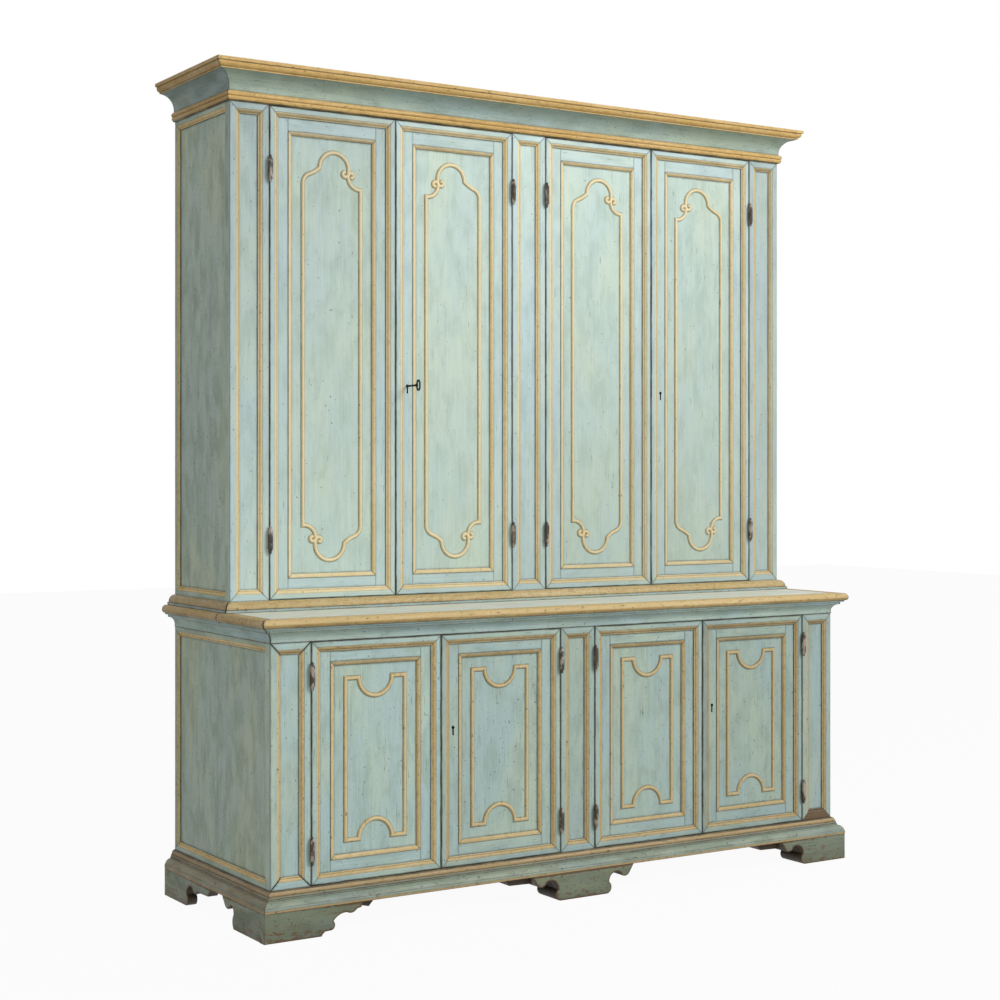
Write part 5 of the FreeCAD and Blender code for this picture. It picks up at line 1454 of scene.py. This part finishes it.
class CUPBOARD_OT_stage(bpy.types.Operator):
    """Pale floor, soft studio light and the camera"""
    bl_idname = "cupboard.stage"
    bl_label = "Stage"

    def execute(self, context):
        scene = context.scene
        scene.view_settings.view_transform = "Standard"
        self.floor(scene)
        self.world(scene)
        for name, spot, target, size, watts in LAMPS:
            light = bpy.data.lights.new(name, "AREA")
            light.size = size
            light.energy = watts
            lamp = placed(name, light)
            lamp.location = spot
            lamp.rotation_euler = (Vector(target) - Vector(spot)).to_track_quat("-Z", "Y").to_euler()
        camera = bpy.data.cameras.new("photo_camera")
        camera.lens = CAMERA_LENS
        camera.sensor_width = CAMERA_SENSOR
        camera.shift_y = CAMERA_SHIFT
        scene.camera = placed("photo_camera", camera)
        scene.camera.location = CAMERA_PLACE
        scene.camera.rotation_euler = (math.radians(90), 0.0, CAMERA_TURN)
        return {"FINISHED"}

    def backdrop(self, tree, lit, white, most, output):
        """Shows white to rays that look at the backdrop, also in a reflection, and what is lit to others."""
        path = wire(tree, "ShaderNodeLightPath")
        seen = path.outputs["Is Camera Ray"]
        for name in ("Is Glossy Ray", "Is Transmission Ray"):
            either = wire(tree, "ShaderNodeMath", {0: seen, 1: path.outputs[name]}, operation="MAXIMUM")
            seen = either.outputs[0]
        part = wire(tree, "ShaderNodeMath", {0: seen, 1: most}, operation="MULTIPLY")
        both = wire(tree, "ShaderNodeMixShader", {0: part.outputs[0], 1: lit.outputs[0], 2: white.outputs[0]})
        tree.links.new(both.outputs[0], tree.nodes[output].inputs["Surface"])

    def floor(self, scene):
        reach = FLOOR_REACH
        corners = [(-reach, -reach, 0), (reach, -reach, 0), (reach, reach, 0), (-reach, reach, 0)]
        ground = placed("floor", drawn("floor", corners, [], [(0, 1, 2, 3)]))
        material = bpy.data.materials.new("studio_floor")
        material.use_nodes = True
        tree = material.node_tree
        surface = tree.nodes["Principled BSDF"]
        surface.inputs["Base Color"].default_value = (*scene.cupboard_colours.floor, 1.0)
        surface.inputs["Roughness"].default_value = FLOOR_ROUGHNESS
        self.backdrop(tree, surface, wire(tree, "ShaderNodeEmission"), FLOOR_WHITE, "Material Output")
        ground.data.materials.append(material)

    def world(self, scene):
        scene.world = bpy.data.worlds.new("studio")
        scene.world.use_nodes = True
        tree = scene.world.node_tree
        light = tree.nodes["Background"]
        light.inputs["Color"].default_value = (*SKY, 1.0)
        light.inputs["Strength"].default_value = SKY_STRENGTH
        white = wire(tree, "ShaderNodeBackground", {"Color": (1.0, 1.0, 1.0)})
        self.backdrop(tree, light, white, 1.0, "World Output")


class CUPBOARD_PT_panel(bpy.types.Panel):
    """Lists the steps that dress the cupboard, and its sizes and colours"""
    bl_idname = "CUPBOARD_PT_panel"
    bl_label = "Painted cupboard"
    bl_space_type = "VIEW_3D"
    bl_region_type = "UI"
    bl_category = "Cupboard"

    def draw(self, context):
        for operator in OPERATORS:
            self.layout.operator(operator.bl_idname)
        for name, group in GROUPS:
            column = self.layout.column(align=True)
            for item in group.__annotations__:
                column.prop(getattr(context.scene, name), item)


GROUPS = (("cupboard_sizes", CupboardSizes), ("cupboard_colours", CupboardColours),
          ("cupboard_wear", CupboardWear))
OPERATORS = (CUPBOARD_OT_feet, CUPBOARD_OT_surrounds, CUPBOARD_OT_counter, CUPBOARD_OT_carcass,
             CUPBOARD_OT_back, CUPBOARD_OT_doors, CUPBOARD_OT_ironwork, CUPBOARD_OT_inside, CUPBOARD_OT_stage)


def register():
    for name, group in GROUPS:
        bpy.utils.register_class(group)
        setattr(bpy.types.Scene, name, bpy.props.PointerProperty(type=group))
    for item in OPERATORS + (CUPBOARD_PT_panel,):
        bpy.utils.register_class(item)


def unregister():
    for item in reversed(OPERATORS + (CUPBOARD_PT_panel,)):
        bpy.utils.unregister_class(item)
    for name, group in reversed(GROUPS):
        delattr(bpy.types.Scene, name)
        bpy.utils.unregister_class(group)


def main():
    register()
    for operator in OPERATORS:
        step = operator.bl_idname.split(".")[1]
        getattr(bpy.ops.cupboard, step)()


if __name__ == "__main__":
    main()
